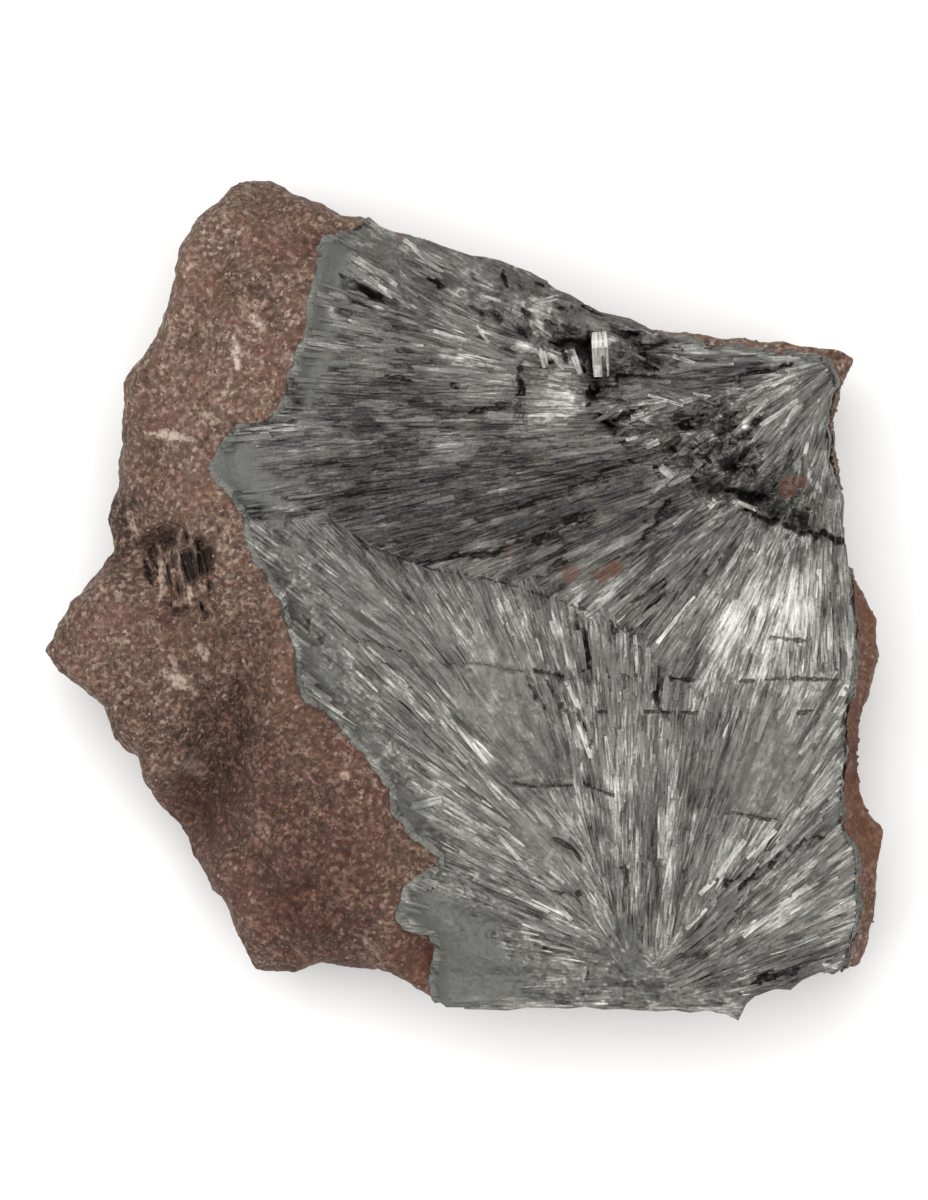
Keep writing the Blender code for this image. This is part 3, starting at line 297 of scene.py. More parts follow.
# Single crystals and facets that stand out: outer end x, y, inner end x, y, width, tone
MARKED_CRYSTALS = (
    (13.7, 26.6, 13.9, 22.2, 1.6, 1.0), (7.9, 24.7, 8.3, 23.1, 0.7, 0.74),
    (10.9, 24.9, 11.8, 22.4, 0.6, 0.8), (-10.5, 34.1, -6.5, 31.3, 0.55, 0.68),
    (21.0, 24.3, 23.3, 23.5, 0.45, 0.85), (18.5, 20.4, 22.0, 19.3, 0.32, 0.85),
    (17.3, 18.8, 19.6, 18.6, 0.35, 0.75), (16.3, 15.9, 19.6, 16.7, 0.35, 0.85),
    (18.1, 15.1, 19.6, 15.8, 0.6, 0.9), (19.7, 13.2, 21.0, 12.2, 0.8, 0.72),
    (20.5, 11.3, 23.4, 12.9, 0.5, 0.85), (23.4, 16.3, 24.0, 15.7, 0.5, 0.8),
    (29.8, 17.3, 33.5, 19.9, 0.5, 0.8), (31.5, 16.8, 34.0, 19.5, 0.4, 0.72),
    (33.0, 14.0, 34.0, 16.4, 0.4, 0.85), (24.6, 9.1, 25.3, 9.8, 0.6, 0.9),
    (27.5, 9.7, 29.5, 8.9, 0.45, 0.85), (21.1, 7.4, 23.0, 9.0, 0.35, 0.8),
    (19.5, 6.2, 20.9, 6.7, 0.45, 0.75), (28.6, 5.1, 29.6, 6.2, 0.45, 0.92),
    (15.6, 23.6, 18.0, 25.2, 0.4, 0.6), (22.6, 14.4, 23.8, 13.2, 0.9, 0.62),
    (-11.5, 33.4, -7.5, 30.5, 0.6, 0.55), (-2.9, 26.8, 0.9, 25.5, 0.4, 0.62),
    (-4.8, 23.1, 1.7, 22.5, 0.5, 0.7), (2.5, 18.4, 5.9, 18.1, 0.8, 0.66),
    (1.4, 27.3, 2.6, 25.6, 0.35, 0.58), (-5.0, 23.2, -2.8, 23.3, 0.35, 0.8),
    (7.9, -2.2, 9.7, -7.1, 0.45, 0.85), (10.3, -8.2, 11.6, -11.0, 0.4, 0.9),
    (11.4, -12.2, 12.8, -15.9, 0.4, 0.9), (14.3, -13.7, 14.9, -19.1, 0.35, 0.9),
    (17.2, -3.6, 17.5, -7.4, 0.4, 0.85), (23.2, 0.2, 19.2, -4.7, 0.4, 0.95),
    (19.4, -0.7, 17.1, -2.7, 0.6, 0.8), (34.5, -28.6, 28.0, -33.7, 0.55, 0.85),
    (28.2, -24.1, 25.4, -27.7, 0.6, 0.8), (31.3, -23.1, 28.4, -25.9, 0.5, 0.85),
    (24.4, -30.9, 22.4, -33.0, 0.4, 0.95), (25.2, -28.1, 23.7, -29.5, 0.5, 0.95),
    (22.8, -28.3, 22.1, -29.7, 0.4, 0.85), (36.0, -36.6, 37.5, -36.8, 0.45, 1.0),
    (19.9, -20.8, 19.9, -25.9, 0.8, 0.68), (17.4, -22.3, 17.4, -28.9, 0.4, 0.78),
    (-2.2, -12.1, 3.8, -20.1, 0.4, 0.7), (-1.2, -12.0, 3.2, -17.6, 0.3, 0.76),
    (3.6, -23.6, 10.9, -32.1, 0.45, 0.8), (1.0, -14.4, 2.4, -16.4, 0.4, 0.9),
    (-4.9, -20.7, -2.1, -20.0, 0.8, 0.7), (30.5, 20.0, 27.0, 16.4, 0.5, 0.8),
    (33.4, 19.4, 30.6, 14.6, 0.4, 0.85), (35.6, 20.0, 34.2, 14.5, 0.4, 0.8),
    (16.8, 24.6, 21.0, 22.6, 0.35, 0.75), (21.4, 13.4, 23.6, 15.0, 0.4, 0.75),
    (19.0, 10.6, 21.5, 12.8, 0.4, 0.7),
)

# ---------------------------------------------------------------- helpers

def linear_colour(code: str) -> tuple[float, float, float, float]:
    """Turn an sRGB hex colour into linear values.

    Args:
        code: the colour as "#rrggbb".

    Returns:
        Linear red, green and blue, and an alpha of 1.
    """
    parts = [int(code[start:start + 2], 16) / 255.0 for start in (1, 3, 5)]
    linear = [part / 12.92 if part <= 0.04045 else ((part + 0.055) / 1.055) ** 2.4 for part in parts]
    return linear[0], linear[1], linear[2], 1.0


def add_node(tree: NodeTree, kind: str, settings: dict | None = None, links: dict | None = None) -> Node:
    """Add a node with its settings and links.

    Args:
        tree: the node tree it goes in.
        kind: the node's type, such as "ShaderNodeMix".
        settings: attribute name to value, or input name or number to value.
        links: input name or number to the output socket that feeds it.

    Returns:
        The new node.
    """
    node = tree.nodes.new(kind)
    for name, value in (settings or {}).items():
        if isinstance(name, str) and hasattr(node, name):
            setattr(node, name, value)
        else:
            node.inputs[name].default_value = value
    for name, source in (links or {}).items():
        tree.links.new(source, node.inputs[name])
    return node


def mixed_colours(tree: NodeTree, colour: NodeSocket,
                  layers: list[tuple[str, NodeSocket]], blend: str = "MIX") -> NodeSocket:
    """Lay plain colours over a colour, one after the other.

    Args:
        tree: the material's node tree.
        colour: the colour underneath.
        layers: each layer's sRGB colour and how much of it shows.
        blend: how they are laid on: "MIX" covers and "MULTIPLY" stains.

    Returns:
        The resulting colour's socket.
    """
    for code, amount in layers:
        mix = add_node(tree, "ShaderNodeMix",
                       {"data_type": "RGBA", "blend_type": blend, 7: linear_colour(code)},
                       {0: amount, 6: colour})
        colour = mix.outputs[2]
    return colour


def new_material(name: str) -> tuple[Material, NodeTree, Node]:
    """Start a material.

    Args:
        name: the material's name.

    Returns:
        The material, its node tree and its shader.
    """
    material = bpy.data.materials.new(name)
    material.use_nodes = True
    return material, material.node_tree, material.node_tree.nodes["Principled BSDF"]


def set_stops(ramp: ColorRamp, *stops: tuple[float, str]) -> None:
    """Set the stops of a new colour ramp.

    Args:
        ramp: the ramp, still with its first two stops.
        stops: each stop's position and sRGB colour, from the lowest position to the highest.
    """
    for element, (position, code) in zip(ramp.elements, (stops[0], stops[-1])):
        element.position = position
        element.color = linear_colour(code)
    for position, code in stops[1:-1]:
        ramp.elements.new(position).color = linear_colour(code)


def new_tree(name: str, inputs: dict[str, str]) -> tuple[NodeTree, NodeOutputs]:
    """Start a Geometry Nodes tree that takes a shape, a finish and sizes.

    Args:
        name: the tree's name.
        inputs: each size's name and the kind of its socket.

    Returns:
        The tree, and the sockets that hold its inputs.
    """
    tree = bpy.data.node_groups.new(name, "GeometryNodeTree")
    for label, kind in ({"Geometry": "Geometry"} | inputs | {"Finish": "Material"}).items():
        tree.interface.new_socket(label, in_out="INPUT", socket_type=f"NodeSocket{kind}")
    tree.interface.new_socket("Geometry", in_out="OUTPUT", socket_type="NodeSocketGeometry")
    return tree, add_node(tree, "NodeGroupInput").outputs


def close_tree(tree: NodeTree, shape: NodeSocket, finish: NodeSocket) -> None:
    """End a Geometry Nodes tree: make its copies real and give them their finish.

    Args:
        tree: the tree.
        shape: the shape it has made.
        finish: the material it was given.
    """
    real = add_node(tree, "GeometryNodeRealizeInstances", {}, {"Geometry": shape})
    coat = add_node(tree, "GeometryNodeSetMaterial", {}, {"Geometry": real.outputs[0], "Material": finish})
    add_node(tree, "NodeGroupOutput", {}, {"Geometry": coat.outputs[0]})


def placed(name: str, data: ID) -> Object:
    """Put a mesh, lamp or camera in the scene as a new object."""
    thing = bpy.data.objects.new(name, data)
    bpy.context.scene.collection.objects.link(thing)
    return thing


def smooth_share(values: Points, low: float, high: float) -> Points:
    """Values eased from 0 at low to 1 at high."""
    share = np.clip((values - low) / (high - low), 0.0, 1.0)
    return share * share * (3.0 - 2.0 * share)


def patch_sum(marks: tuple[Patch | Stroke, ...], x: Points, y: Points) -> Points:
    """The marks' shares added up at each place."""
    return sum((mark.share(x, y) for mark in marks), np.zeros_like(x))


def line_distance(line: tuple[tuple[float, float], ...], x: Points, y: Points) -> Points:
    """Distance from each place to a line of points.

    Args:
        line: the line's points.
        x, y: the places' coordinates.

    Returns:
        The distances, in the shape of x.
    """
    nearest = np.full(x.shape, np.inf)
    for (x1, y1), (x2, y2) in zip(line, line[1:]):
        along_x, along_y = x2 - x1, y2 - y1
        share = ((x - x1) * along_x + (y - y1) * along_y) / (along_x ** 2 + along_y ** 2)
        share = np.clip(share, 0.0, 1.0)
        nearest = np.minimum(nearest, np.hypot(x - x1 - share * along_x, y - y1 - share * along_y))
    return nearest


def blurred(values: Grid, sigma: float) -> Grid:
    """A grid softened by a Gaussian.

    Args:
        values: the grid.
        sigma: its width, in cells.

    Returns:
        The softened grid.
    """
    reach = int(3.0 * sigma) + 1
    kernel = np.exp(-0.5 * (np.arange(-reach, reach + 1) / sigma) ** 2)
    kernel /= kernel.sum()
    for axis in (0, 1):
        values = np.apply_along_axis(lambda row: np.convolve(row, kernel, "same"), axis, values)
    return values


def even_noise(shape: tuple[int, int], sigma: float, seed: int) -> Grid:
    """Soft random noise with a mean of 0 and a spread of 1.

    Args:
        shape: the grid's rows and columns.
        sigma: how soft it is, in cells.
        seed: the random seed.

    Returns:
        The grid.
    """
    values = blurred(np.random.default_rng(seed).standard_normal(shape), sigma)
    return (values - values.mean()) / values.std()


def merged_copy(node: str) -> BMesh:
    """A CAD node's mesh with its loose triangles joined, in millimetres.

    Args:
        node: the CAD node's name.

    Returns:
        The mesh, to be freed by the caller.
    """
    shape = bmesh.new()
    shape.from_mesh(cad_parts[node].data)
    bmesh.ops.scale(shape, vec=(1.0 / MM,) * 3, verts=shape.verts)
    bmesh.ops.remove_doubles(shape, verts=shape.verts, dist=0.002)
    return shape


def refine(shape: BMesh, stretch: Callable[[Points, Points], Points], rounds: int) -> None:
    """Halve the edges that are longer than they may be, round by round.

    Args:
        shape: the mesh, changed in place.
        stretch: given the edges' middles and their spans, each one row to an edge, says how many
            times the allowed length each edge is.
        rounds: how many times to go over the mesh.
    """
    for _ in range(rounds):
        ends = np.array([(edge.verts[0].co[:], edge.verts[1].co[:]) for edge in shape.edges])
        excess = stretch(ends.mean(axis=1), ends[:, 1] - ends[:, 0])
        long = [edge for edge, times in zip(shape.edges, excess) if times > 1.0]
        if not long:
            return
        bmesh.ops.subdivide_edges(shape, edges=long, cuts=1)
        wide = [face for face in shape.faces if len(face.verts) > 3]
        bmesh.ops.triangulate(shape, faces=wide)


def mesh_object(name: str, shape: BMesh) -> Object:
    """Turn a mesh in millimetres into an object in metres, and free it."""
    bmesh.ops.scale(shape, vec=(MM, MM, MM), verts=shape.verts)
    mesh = bpy.data.meshes.new(name)
    shape.to_mesh(mesh)
    shape.free()
    return placed(name, mesh)


def vertex_places(mesh: Mesh) -> Points:
    """A mesh's vertices in millimetres, one row each."""
    places = np.empty(len(mesh.vertices) * 3, np.float32)
    mesh.vertices.foreach_get("co", places)
    return places.reshape(-1, 3).astype(float) / MM


def set_vertex_places(mesh: Mesh, places: Points) -> None:
    """Move a mesh's vertices to places in millimetres, kept inside the CAD box."""
    low, high = np.array(cad_box[0]) / MM, np.array(cad_box[1]) / MM
    held = np.clip(places, low + (BOX_MARGIN, BOX_MARGIN, 0.0), high - BOX_MARGIN) * MM
    mesh.vertices.foreach_set("co", held.astype(np.float32).ravel())
    mesh.update()


def vertex_normals(mesh: Mesh) -> Points:
    """A mesh's vertex normals, one row each."""
    normals = np.empty(len(mesh.vertices) * 3, np.float32)
    mesh.vertex_normals.foreach_get("vector", normals)
    return normals.reshape(-1, 3).astype(float)


def set_attribute(mesh: Mesh, name: str, values: Points) -> None:
    """Store one number at each vertex under a name."""
    attribute = mesh.attributes.new(name, "FLOAT", "POINT")
    attribute.data.foreach_set("value", values.astype(np.float32))


def lumps(places: Points, size: float) -> Points:
    """Smooth solid noise at places in millimetres.

    Args:
        places: the places, one row each.
        size: about how far apart the lumps are, in millimetres.

    Returns:
        The noise, from about -1 to 1.
    """
    return np.array([noise.noise(Vector(place)) for place in places / size])


def plain_result(guide: Object, tree: NodeTree, values: dict) -> Object:
    """Run a node tree on an object and keep the result as a plain mesh.

    Args:
        guide: the object the tree runs on, removed afterwards.
        tree: the Geometry Nodes tree.
        values: input name to value.

    Returns:
        A new object with the resulting mesh.
    """
    modifier = guide.modifiers.new("grow", "NODES")
    modifier.node_group = tree
    for item in tree.interface.items_tree:
        if item.in_out == "INPUT" and item.name in values:
            modifier[item.identifier] = values[item.name]
    graph = bpy.context.evaluated_depsgraph_get()
    mesh = bpy.data.meshes.new_from_object(guide.evaluated_get(graph), depsgraph=graph)
    guide.modifiers.remove(modifier)
    name = guide.name
    bpy.data.objects.remove(guide)
    return placed(name, mesh)


def settle(piece: Object, material: Material, node: str) -> None:
    """Give a finished piece its material in its slot and its body, hide the CAD node it stands for, and
    report it.

    Args:
        piece: the finished object.
        material: what it is made of.
        node: the CAD node that it stands for.
    """
    if material.name not in piece.data.materials:
        piece.data.materials.clear()
        piece.data.materials.append(material)
    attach(piece, "root")
    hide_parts(node)
    piece.data.calc_loop_triangles()
    log.info("%s: %d triangles", piece.name, len(piece.data.loop_triangles))


# ---------------------------------------------------------------- finishes

@dataclass(frozen=True)
class SteelGreyCrystal:
    """Pyrolusite, a soft grey manganese oxide, broken along its prism faces.

    Clean breaks have a silky metallic lustre, brightest where a face looks at the light. Hollows are sooty
    black, with painted shade laid over the soot. The skin where the sprays met the rock is duller, and
    iron-stained spots are brown.
    """

    dark: str = "#161514"
    middle: str = "#63625d"
    bright: str = "#cbc9c3"
    skin: str = "#51524f"
    # sooty black of hollows and clefts, laid on partly as painted shade
    soot: str = "#0c0b0a"
    stain: str = "#5c3724"
    warm: str = "#7d7364"
    roughness: float = 0.5
    dull_roughness: float = 0.68
    metallic: float = 0.45
    dull_metallic: float = 0.1
    mottle_mm: float = 0.30
    mottle: float = 0.13
    grain_mm: float = 0.24
    grain_step: float = 0.17
    grain_reach: int = 3
    grain: float = 1.5
    warmth_mm: float = 3.0
    warmth: float = 0.22
    glint: float = 0.035

    def fibres(self, tree: NodeTree, place: NodeSocket) -> NodeSocket:
        """Fine grain along the crystals: noise averaged over steps in the direction way_x, way_y.

        Args:
            tree: the material's node tree.
            place: where each point of the surface is.

        Returns:
            The grain's socket, from about 0 to 1.
        """
        node = partial(add_node, tree)
        ways = {axis: node("ShaderNodeAttribute", {"attribute_name": name}).outputs["Fac"]
                for axis, name in (("X", "way_x"), ("Y", "way_y"))}
        way = node("ShaderNodeCombineXYZ", {}, ways)
        total = None
        for step in range(-self.grain_reach, self.grain_reach + 1):
            ahead = (step * self.grain_step * MM,) * 3
            spot = node("ShaderNodeVectorMath", {"operation": "MULTIPLY_ADD", 1: ahead},
                        {0: way.outputs[0], 2: place})
            speck = node("ShaderNodeTexNoise",
                         {"noise_dimensions": "2D", "Scale": 1.0 / (self.grain_mm * MM), "Detail": 1.0},
                         {"Vector": spot.outputs[0]})
            share = node("ShaderNodeMath",
                         {"operation": "MULTIPLY_ADD", 1: 1.0 / (2 * self.grain_reach + 1), 2: 0.0},
                         {0: speck.outputs["Fac"]} | ({2: total} if total else {}))
            total = share.outputs[0]
        return total

    def build(self) -> Material:
        """Make the material. It reads the attributes tone, skin, stain, fibre, way_x and way_y, and the one
        for soot with painted shade in hollows.

        Returns:
            The new material.
        """
        material, tree, shader = new_material("steel_grey_pyrolusite")
        node = partial(add_node, tree)
        read = {name: node("ShaderNodeAttribute", {"attribute_name": name}).outputs["Fac"]
                for name in ("tone", "skin", "soot", "stain", "fibre")}
        place = node("ShaderNodeTexCoord").outputs["Object"]
        mottle = node("ShaderNodeTexNoise",
                      {"Scale": 1.0 / (self.mottle_mm * MM), "Detail": 3.0, "Roughness": 0.65},
                      {"Vector": place})
        wander = node("ShaderNodeMath",
                      {"operation": "MULTIPLY_ADD", 1: 2.0 * self.mottle, 2: -self.mottle},
                      {0: mottle.outputs["Fac"]})
        level = node("ShaderNodeMath", {"operation": "ADD"}, {0: wander.outputs[0], 1: read["tone"]})
        middle = node("ShaderNodeMath", {"operation": "SUBTRACT", 1: 0.5}, {0: self.fibres(tree, place)})
        combed = node("ShaderNodeMath", {"operation": "MULTIPLY"}, {0: middle.outputs[0], 1: read["fibre"]})
        tone = node("ShaderNodeMath", {"operation": "MULTIPLY_ADD", "use_clamp": True, 1: self.grain},
                    {0: combed.outputs[0], 2: level.outputs[0]})
        lustre = node("ShaderNodeValToRGB", {}, {"Fac": tone.outputs[0]})
        set_stops(lustre.color_ramp, (0.0, self.dark), (0.5, self.middle), (1.0, self.bright))
        cloud = node("ShaderNodeTexNoise", {"Scale": 1.0 / (self.warmth_mm * MM), "Detail": 2.0},
                     {"Vector": place})
        warmth, glint = (
            node("ShaderNodeMapRange", {"From Min": low, "From Max": high, "To Max": most},
                 {"Value": source.outputs["Fac"]}).outputs[0]
            for source, low, high, most in ((cloud, 0.55, 0.75, self.warmth),
                                            (mottle, 0.35, 0.65, self.glint)))
        colour = mixed_colours(tree, lustre.outputs["Color"], [
            (self.warm, warmth), (self.skin, read["skin"]), (self.bright, glint),
            (self.stain, read["stain"]), (self.soot, read["soot"])])
        tree.links.new(colour, shader.inputs["Base Color"])
        dull = node("ShaderNodeMath", {"operation": "MAXIMUM"}, {0: read["skin"], 1: read["stain"]})
        for name, clean, dulled in (("Roughness", self.roughness, self.dull_roughness),
                                    ("Metallic", self.metallic, self.dull_metallic)):
            amount = node("ShaderNodeMapRange", {"To Min": clean, "To Max": dulled},
                          {"Value": dull.outputs[0]})
            tree.links.new(amount.outputs[0], shader.inputs[name])
        bump = node("ShaderNodeBump", {"Strength": 0.4, "Distance": 0.2 * MM},
                    {"Height": combed.outputs[0]})
        tree.links.new(bump.outputs[0], shader.inputs["Normal"])
        return material


@dataclass(frozen=True)
class SandyRock:
    """Ferruginous sandstone: quartz grains of about half a millimetre in a brown iron-oxide cement.

    It is dull, and reads as reddish brown with tan, pinkish and dark brown specks.
    """

    dark: str = "#2e211b"
    cement: str = "#604a3d"
    tan: str = "#a28f7f"
    olive: str = "#6e604f"
    rose: str = "#6c483c"
    rust: str = "#6f4a33"
    pale: str = "#b3a193"
    fleck: str = "#cdbcb0"
    shade: str = "#2a1d18"
    # multiplied in where the rock is darker, and as painted shade in its valley, pits and hollows
    dim: str = "#8b6c59"
    redden: str = "#a8705c"
    speckle_mm: float = 0.62
    grain_mm: float = 0.36
    hue_mm: float = 1.1
    blotch_mm: float = 2.6
    cloud_mm: float = 9.0
    blotch: float = 0.34
    spread: tuple[float, float] = (0.285, 0.735)
    roughness: float = 0.95

    def build(self) -> Material:
        """Make the material. It reads the attributes shade, red, pale and rust, and the one that dims the
        rock and paints shade into its valley, pits and hollows.

        Returns:
            The new material.
        """
        material, tree, shader = new_material("sandy_brown_rock")
        node = partial(add_node, tree)
        read = {name: node("ShaderNodeAttribute", {"attribute_name": name}).outputs["Fac"]
                for name in ("shade", "dim", "red", "pale", "rust")}
        place = node("ShaderNodeTexCoord").outputs["Object"]
        speckle, hue, blotch, cloud = (
            node("ShaderNodeTexNoise", {"Scale": 1.0 / (size * MM), "Detail": 4.0, "Roughness": 0.6},
                 {"Vector": place}).outputs["Fac"]
            for size in (self.speckle_mm, self.hue_mm, self.blotch_mm, self.cloud_mm))
        cells = node("ShaderNodeTexVoronoi", {"Scale": 1.0 / (self.grain_mm * MM)}, {"Vector": place})
        grain = node("ShaderNodeSeparateColor", {}, {"Color": cells.outputs["Color"]}).outputs
        mixed = node("ShaderNodeMix", {"data_type": "FLOAT", 0: 0.22},
                     {2: speckle, 3: grain["Red"]}).outputs[0]
        uneven = node("ShaderNodeMath", {"operation": "MULTIPLY_ADD", 1: self.blotch},
                      {0: blotch, 2: mixed})
        middle = 0.5 * self.blotch
        speckled = node("ShaderNodeValToRGB", {}, {"Fac": uneven.outputs[0]})
        set_stops(speckled.color_ramp, (self.spread[0] + middle, self.dark), (0.5 + middle, self.cement),
                  (self.spread[1] + middle, self.tan))
        is_fleck, is_olive, is_rose, is_red, broken, between = (
            node("ShaderNodeMapRange", {"From Min": low, "From Max": high, "To Min": least, "To Max": most},
                 {"Value": source}).outputs[0]
            for source, low, high, least, most in (
                (grain["Green"], 0.96, 0.98, 0.0, 0.32), (hue, 0.5, 0.32, 0.0, 0.5),
                (hue, 0.5, 0.7, 0.0, 0.55), (cloud, 0.45, 0.7, 0.0, 0.45),
                (mixed, 0.38, 0.54, 0.35, 1.5), (mixed, 0.42, 0.62, 1.2, 0.45)))
        is_pale, is_dim_and_shade = (
            node("ShaderNodeMath", {"operation": "MULTIPLY", "use_clamp": True},
                 {0: read[name], 1: limit}).outputs[0]
            for name, limit in (("pale", broken), ("dim", between)))
        colour = mixed_colours(tree, speckled.outputs["Color"], [
            (self.olive, is_olive), (self.rose, is_rose), (self.rose, is_red), (self.fleck, is_fleck),
            (self.pale, is_pale), (self.rust, read["rust"])])
        colour = mixed_colours(tree, colour, [(self.redden, read["red"]), (self.dim, is_dim_and_shade)], "MULTIPLY")
        colour = mixed_colours(tree, colour, [(self.shade, read["shade"])])
        tree.links.new(colour, shader.inputs["Base Color"])
        shader.inputs["Roughness"].default_value = self.roughness
        bump = node("ShaderNodeBump", {"Strength": 0.6, "Distance": 0.2 * MM}, {"Height": mixed})
        tree.links.new(bump.outputs[0], shader.inputs["Normal"])
        return material


@dataclass(frozen=True)
class QuartzGrain:
    """Quartz sand with an iron-oxide film: pale pink to dark brown grains, slightly glossy."""

    dark: str = "#4a372d"
    middle: str = "#624b3e"
    tan: str = "#7a6455"
    pale: str = "#a08c7d"
    shade: str = "#2a1d18"
    dim: str = "#8b6c59"
    redden: str = "#a8705c"
    rust: str = "#785038"
    roughness: float = 0.75

    def build(self) -> Material:
        """Make the material. It reads grain, a number for each grain, and the rock's own attributes.

        Returns:
            The new material.
        """
        material, tree, shader = new_material("iron_stained_quartz_grain")
        node = partial(add_node, tree)
        read = {name: node("ShaderNodeAttribute", {"attribute_name": name}).outputs["Fac"]
                for name in ("grain", "shade", "dim", "red", "pale", "rust")}
        own = node("ShaderNodeValToRGB", {}, {"Fac": read["grain"]})
        set_stops(own.color_ramp, (0.0, self.dark), (0.45, self.middle), (0.88, self.tan), (1.0, self.pale))
        # the grains take half of the rock's dimming, painted shade included
        is_dim_and_shade = node("ShaderNodeMath", {"operation": "MULTIPLY", 1: 0.5}, {0: read["dim"]})
        colour = mixed_colours(tree, own.outputs["Color"],
                               [(self.pale, read["pale"]), (self.rust, read["rust"])])
        colour = mixed_colours(tree, colour, [(self.redden, read["red"]), (self.dim, is_dim_and_shade.outputs[0])],
                               "MULTIPLY")
        colour = mixed_colours(tree, colour, [(self.shade, read["shade"])])
        tree.links.new(colour, shader.inputs["Base Color"])
        shader.inputs["Roughness"].default_value = self.roughness
        return material


@dataclass(frozen=True)
class MattPaper:
    """White background paper: matt and even."""

    white: str = "#f6f6f5"

    def build(self) -> Material:
        """Make the material.

        Returns:
            The new material.
        """
        material, _, shader = new_material("matt_white_paper")
        shader.inputs["Base Color"].default_value = linear_colour(self.white)
        shader.inputs["Roughness"].default_value = 1.0
        return material


# ---------------------------------------------------------------- the crystal face

@dataclass(frozen=True)
class Streak:
    """Fine grain drawn out along the crystals: its width, how far it runs, its relief and its tone."""

    width: float
    reach: float
    relief: float
    tone: float


@dataclass(frozen=True)
class LathSize:
    """Flat laths that the face broke along: how many, their widths and lengths, and how far they
    differ in height, in sideways slope and in tone."""

    count: int
    width: tuple[float, float]
    length: tuple[float, float]
    lift: float
    slope: float
    tone: float


@dataclass
class PlanGrid:
    """Square cells over a rectangle of the plan."""

    low_x: float
    low_y: float
    high_x: float
    high_y: float
    cell: float

    def lay_out(self) -> None:
        """Place the cells."""
        columns = int((self.high_x - self.low_x) / self.cell)
        rows = int((self.high_y - self.low_y) / self.cell)
        self.x, self.y = np.meshgrid(self.low_x + (np.arange(columns) + 0.5) * self.cell,
                                     self.low_y + (np.arange(rows) + 0.5) * self.cell)

    def heights(self, node: str) -> Grid:
        """The height of a CAD node's upper surface in each cell, and NaN where it has none."""
        shape = merged_copy(node)
        tree = BVHTree.FromBMesh(shape)
        above = max(vert.co.z for vert in shape.verts) + 1.0
        shape.free()
        down = Vector((0.0, 0.0, -1.0))
        height = np.full(self.x.shape, np.nan)
        for row, column in np.ndindex(self.x.shape):
            hit = tree.ray_cast(Vector((self.x[row, column], self.y[row, column], above)), down)[0]
            if hit is not None:
                height[row, column] = hit.z
        return height

    def cell_of(self, x: Points, y: Points) -> tuple[np.ndarray, np.ndarray]:
        """The row and column of the cell at each place."""
        column = np.clip(((x - self.low_x) / self.cell).astype(int), 0, self.x.shape[1] - 1)
        row = np.clip(((y - self.low_y) / self.cell).astype(int), 0, self.x.shape[0] - 1)
        return row, column

    def read(self, values: Grid, x: Points, y: Points) -> Points:
        """Read a grid between its cells.

        Args:
            values: the grid.
            x, y: the places' coordinates.

        Returns:
            The grid's values at the places.
        """
        across = np.clip((x - self.low_x) / self.cell - 0.5, 0.0, self.x.shape[1] - 1.001)
        up = np.clip((y - self.low_y) / self.cell - 0.5, 0.0, self.x.shape[0] - 1.001)
        column, row = across.astype(int), up.astype(int)
        share_x, share_y = across - column, up - row
        lower = values[row, column] * (1 - share_x) + values[row, column + 1] * share_x
        upper = values[row + 1, column] * (1 - share_x) + values[row + 1, column + 1] * share_x
        return lower * (1 - share_y) + upper * share_y

    def softened(self, values: Grid, inside: Grid, reach: float) -> Grid:
        """A grid softened over some of its cells alone, so that nothing bleeds in from the others.

        Args:
            values: the grid.
            inside: 1 in the cells that count and 0 in the others.
            reach: how far it is softened, in millimetres.

        Returns:
            The softened grid.
        """
        weight = blurred(inside, reach / self.cell)
        return blurred(values * inside, reach / self.cell) / np.maximum(weight, 0.02)


@dataclass
class MeetingLine(PlanGrid):
    """Where the crystals grew fast to the rock: how near that is, and the height that both share."""

    low_x: float = -43.0
    low_y: float = -43.0
    high_x: float = 43.0
    high_y: float = 43.0
    cell: float = 0.3
    reach: float = 1.3
    hold: float = 0.9

    def __post_init__(self) -> None:
        """Lay the cells out and find the line."""
        self.lay_out()
        crystals, rock = self.heights("pyrolusite_sprays"), self.heights("host_rock")
        has_crystals = ~np.isnan(crystals)
        solid = (has_crystals | ~np.isnan(rock)).astype(float)
        seen = np.nan_to_num(np.where(has_crystals, crystals, rock))
        self.level = self.softened(seen, solid, self.reach)
        share = self.softened(has_crystals.astype(float), solid, self.reach)
        self.near = self.hold * np.clip(4.0 * share * (1.0 - share), 0.0, 1.0)
        log.info("meeting line: %d by %d cells", *self.x.shape)

    def pull(self, places: Points) -> tuple[Points, Points]:
        """How strongly each place is held by the line, and the height it is held at.

        Args:
            places: the places in millimetres, one row each.

        Returns:
            The strength from 0 to 1, and the height.
        """
        x, y = places[:, 0], places[:, 1]
        return self.read(self.near, x, y), self.read(self.level, x, y)


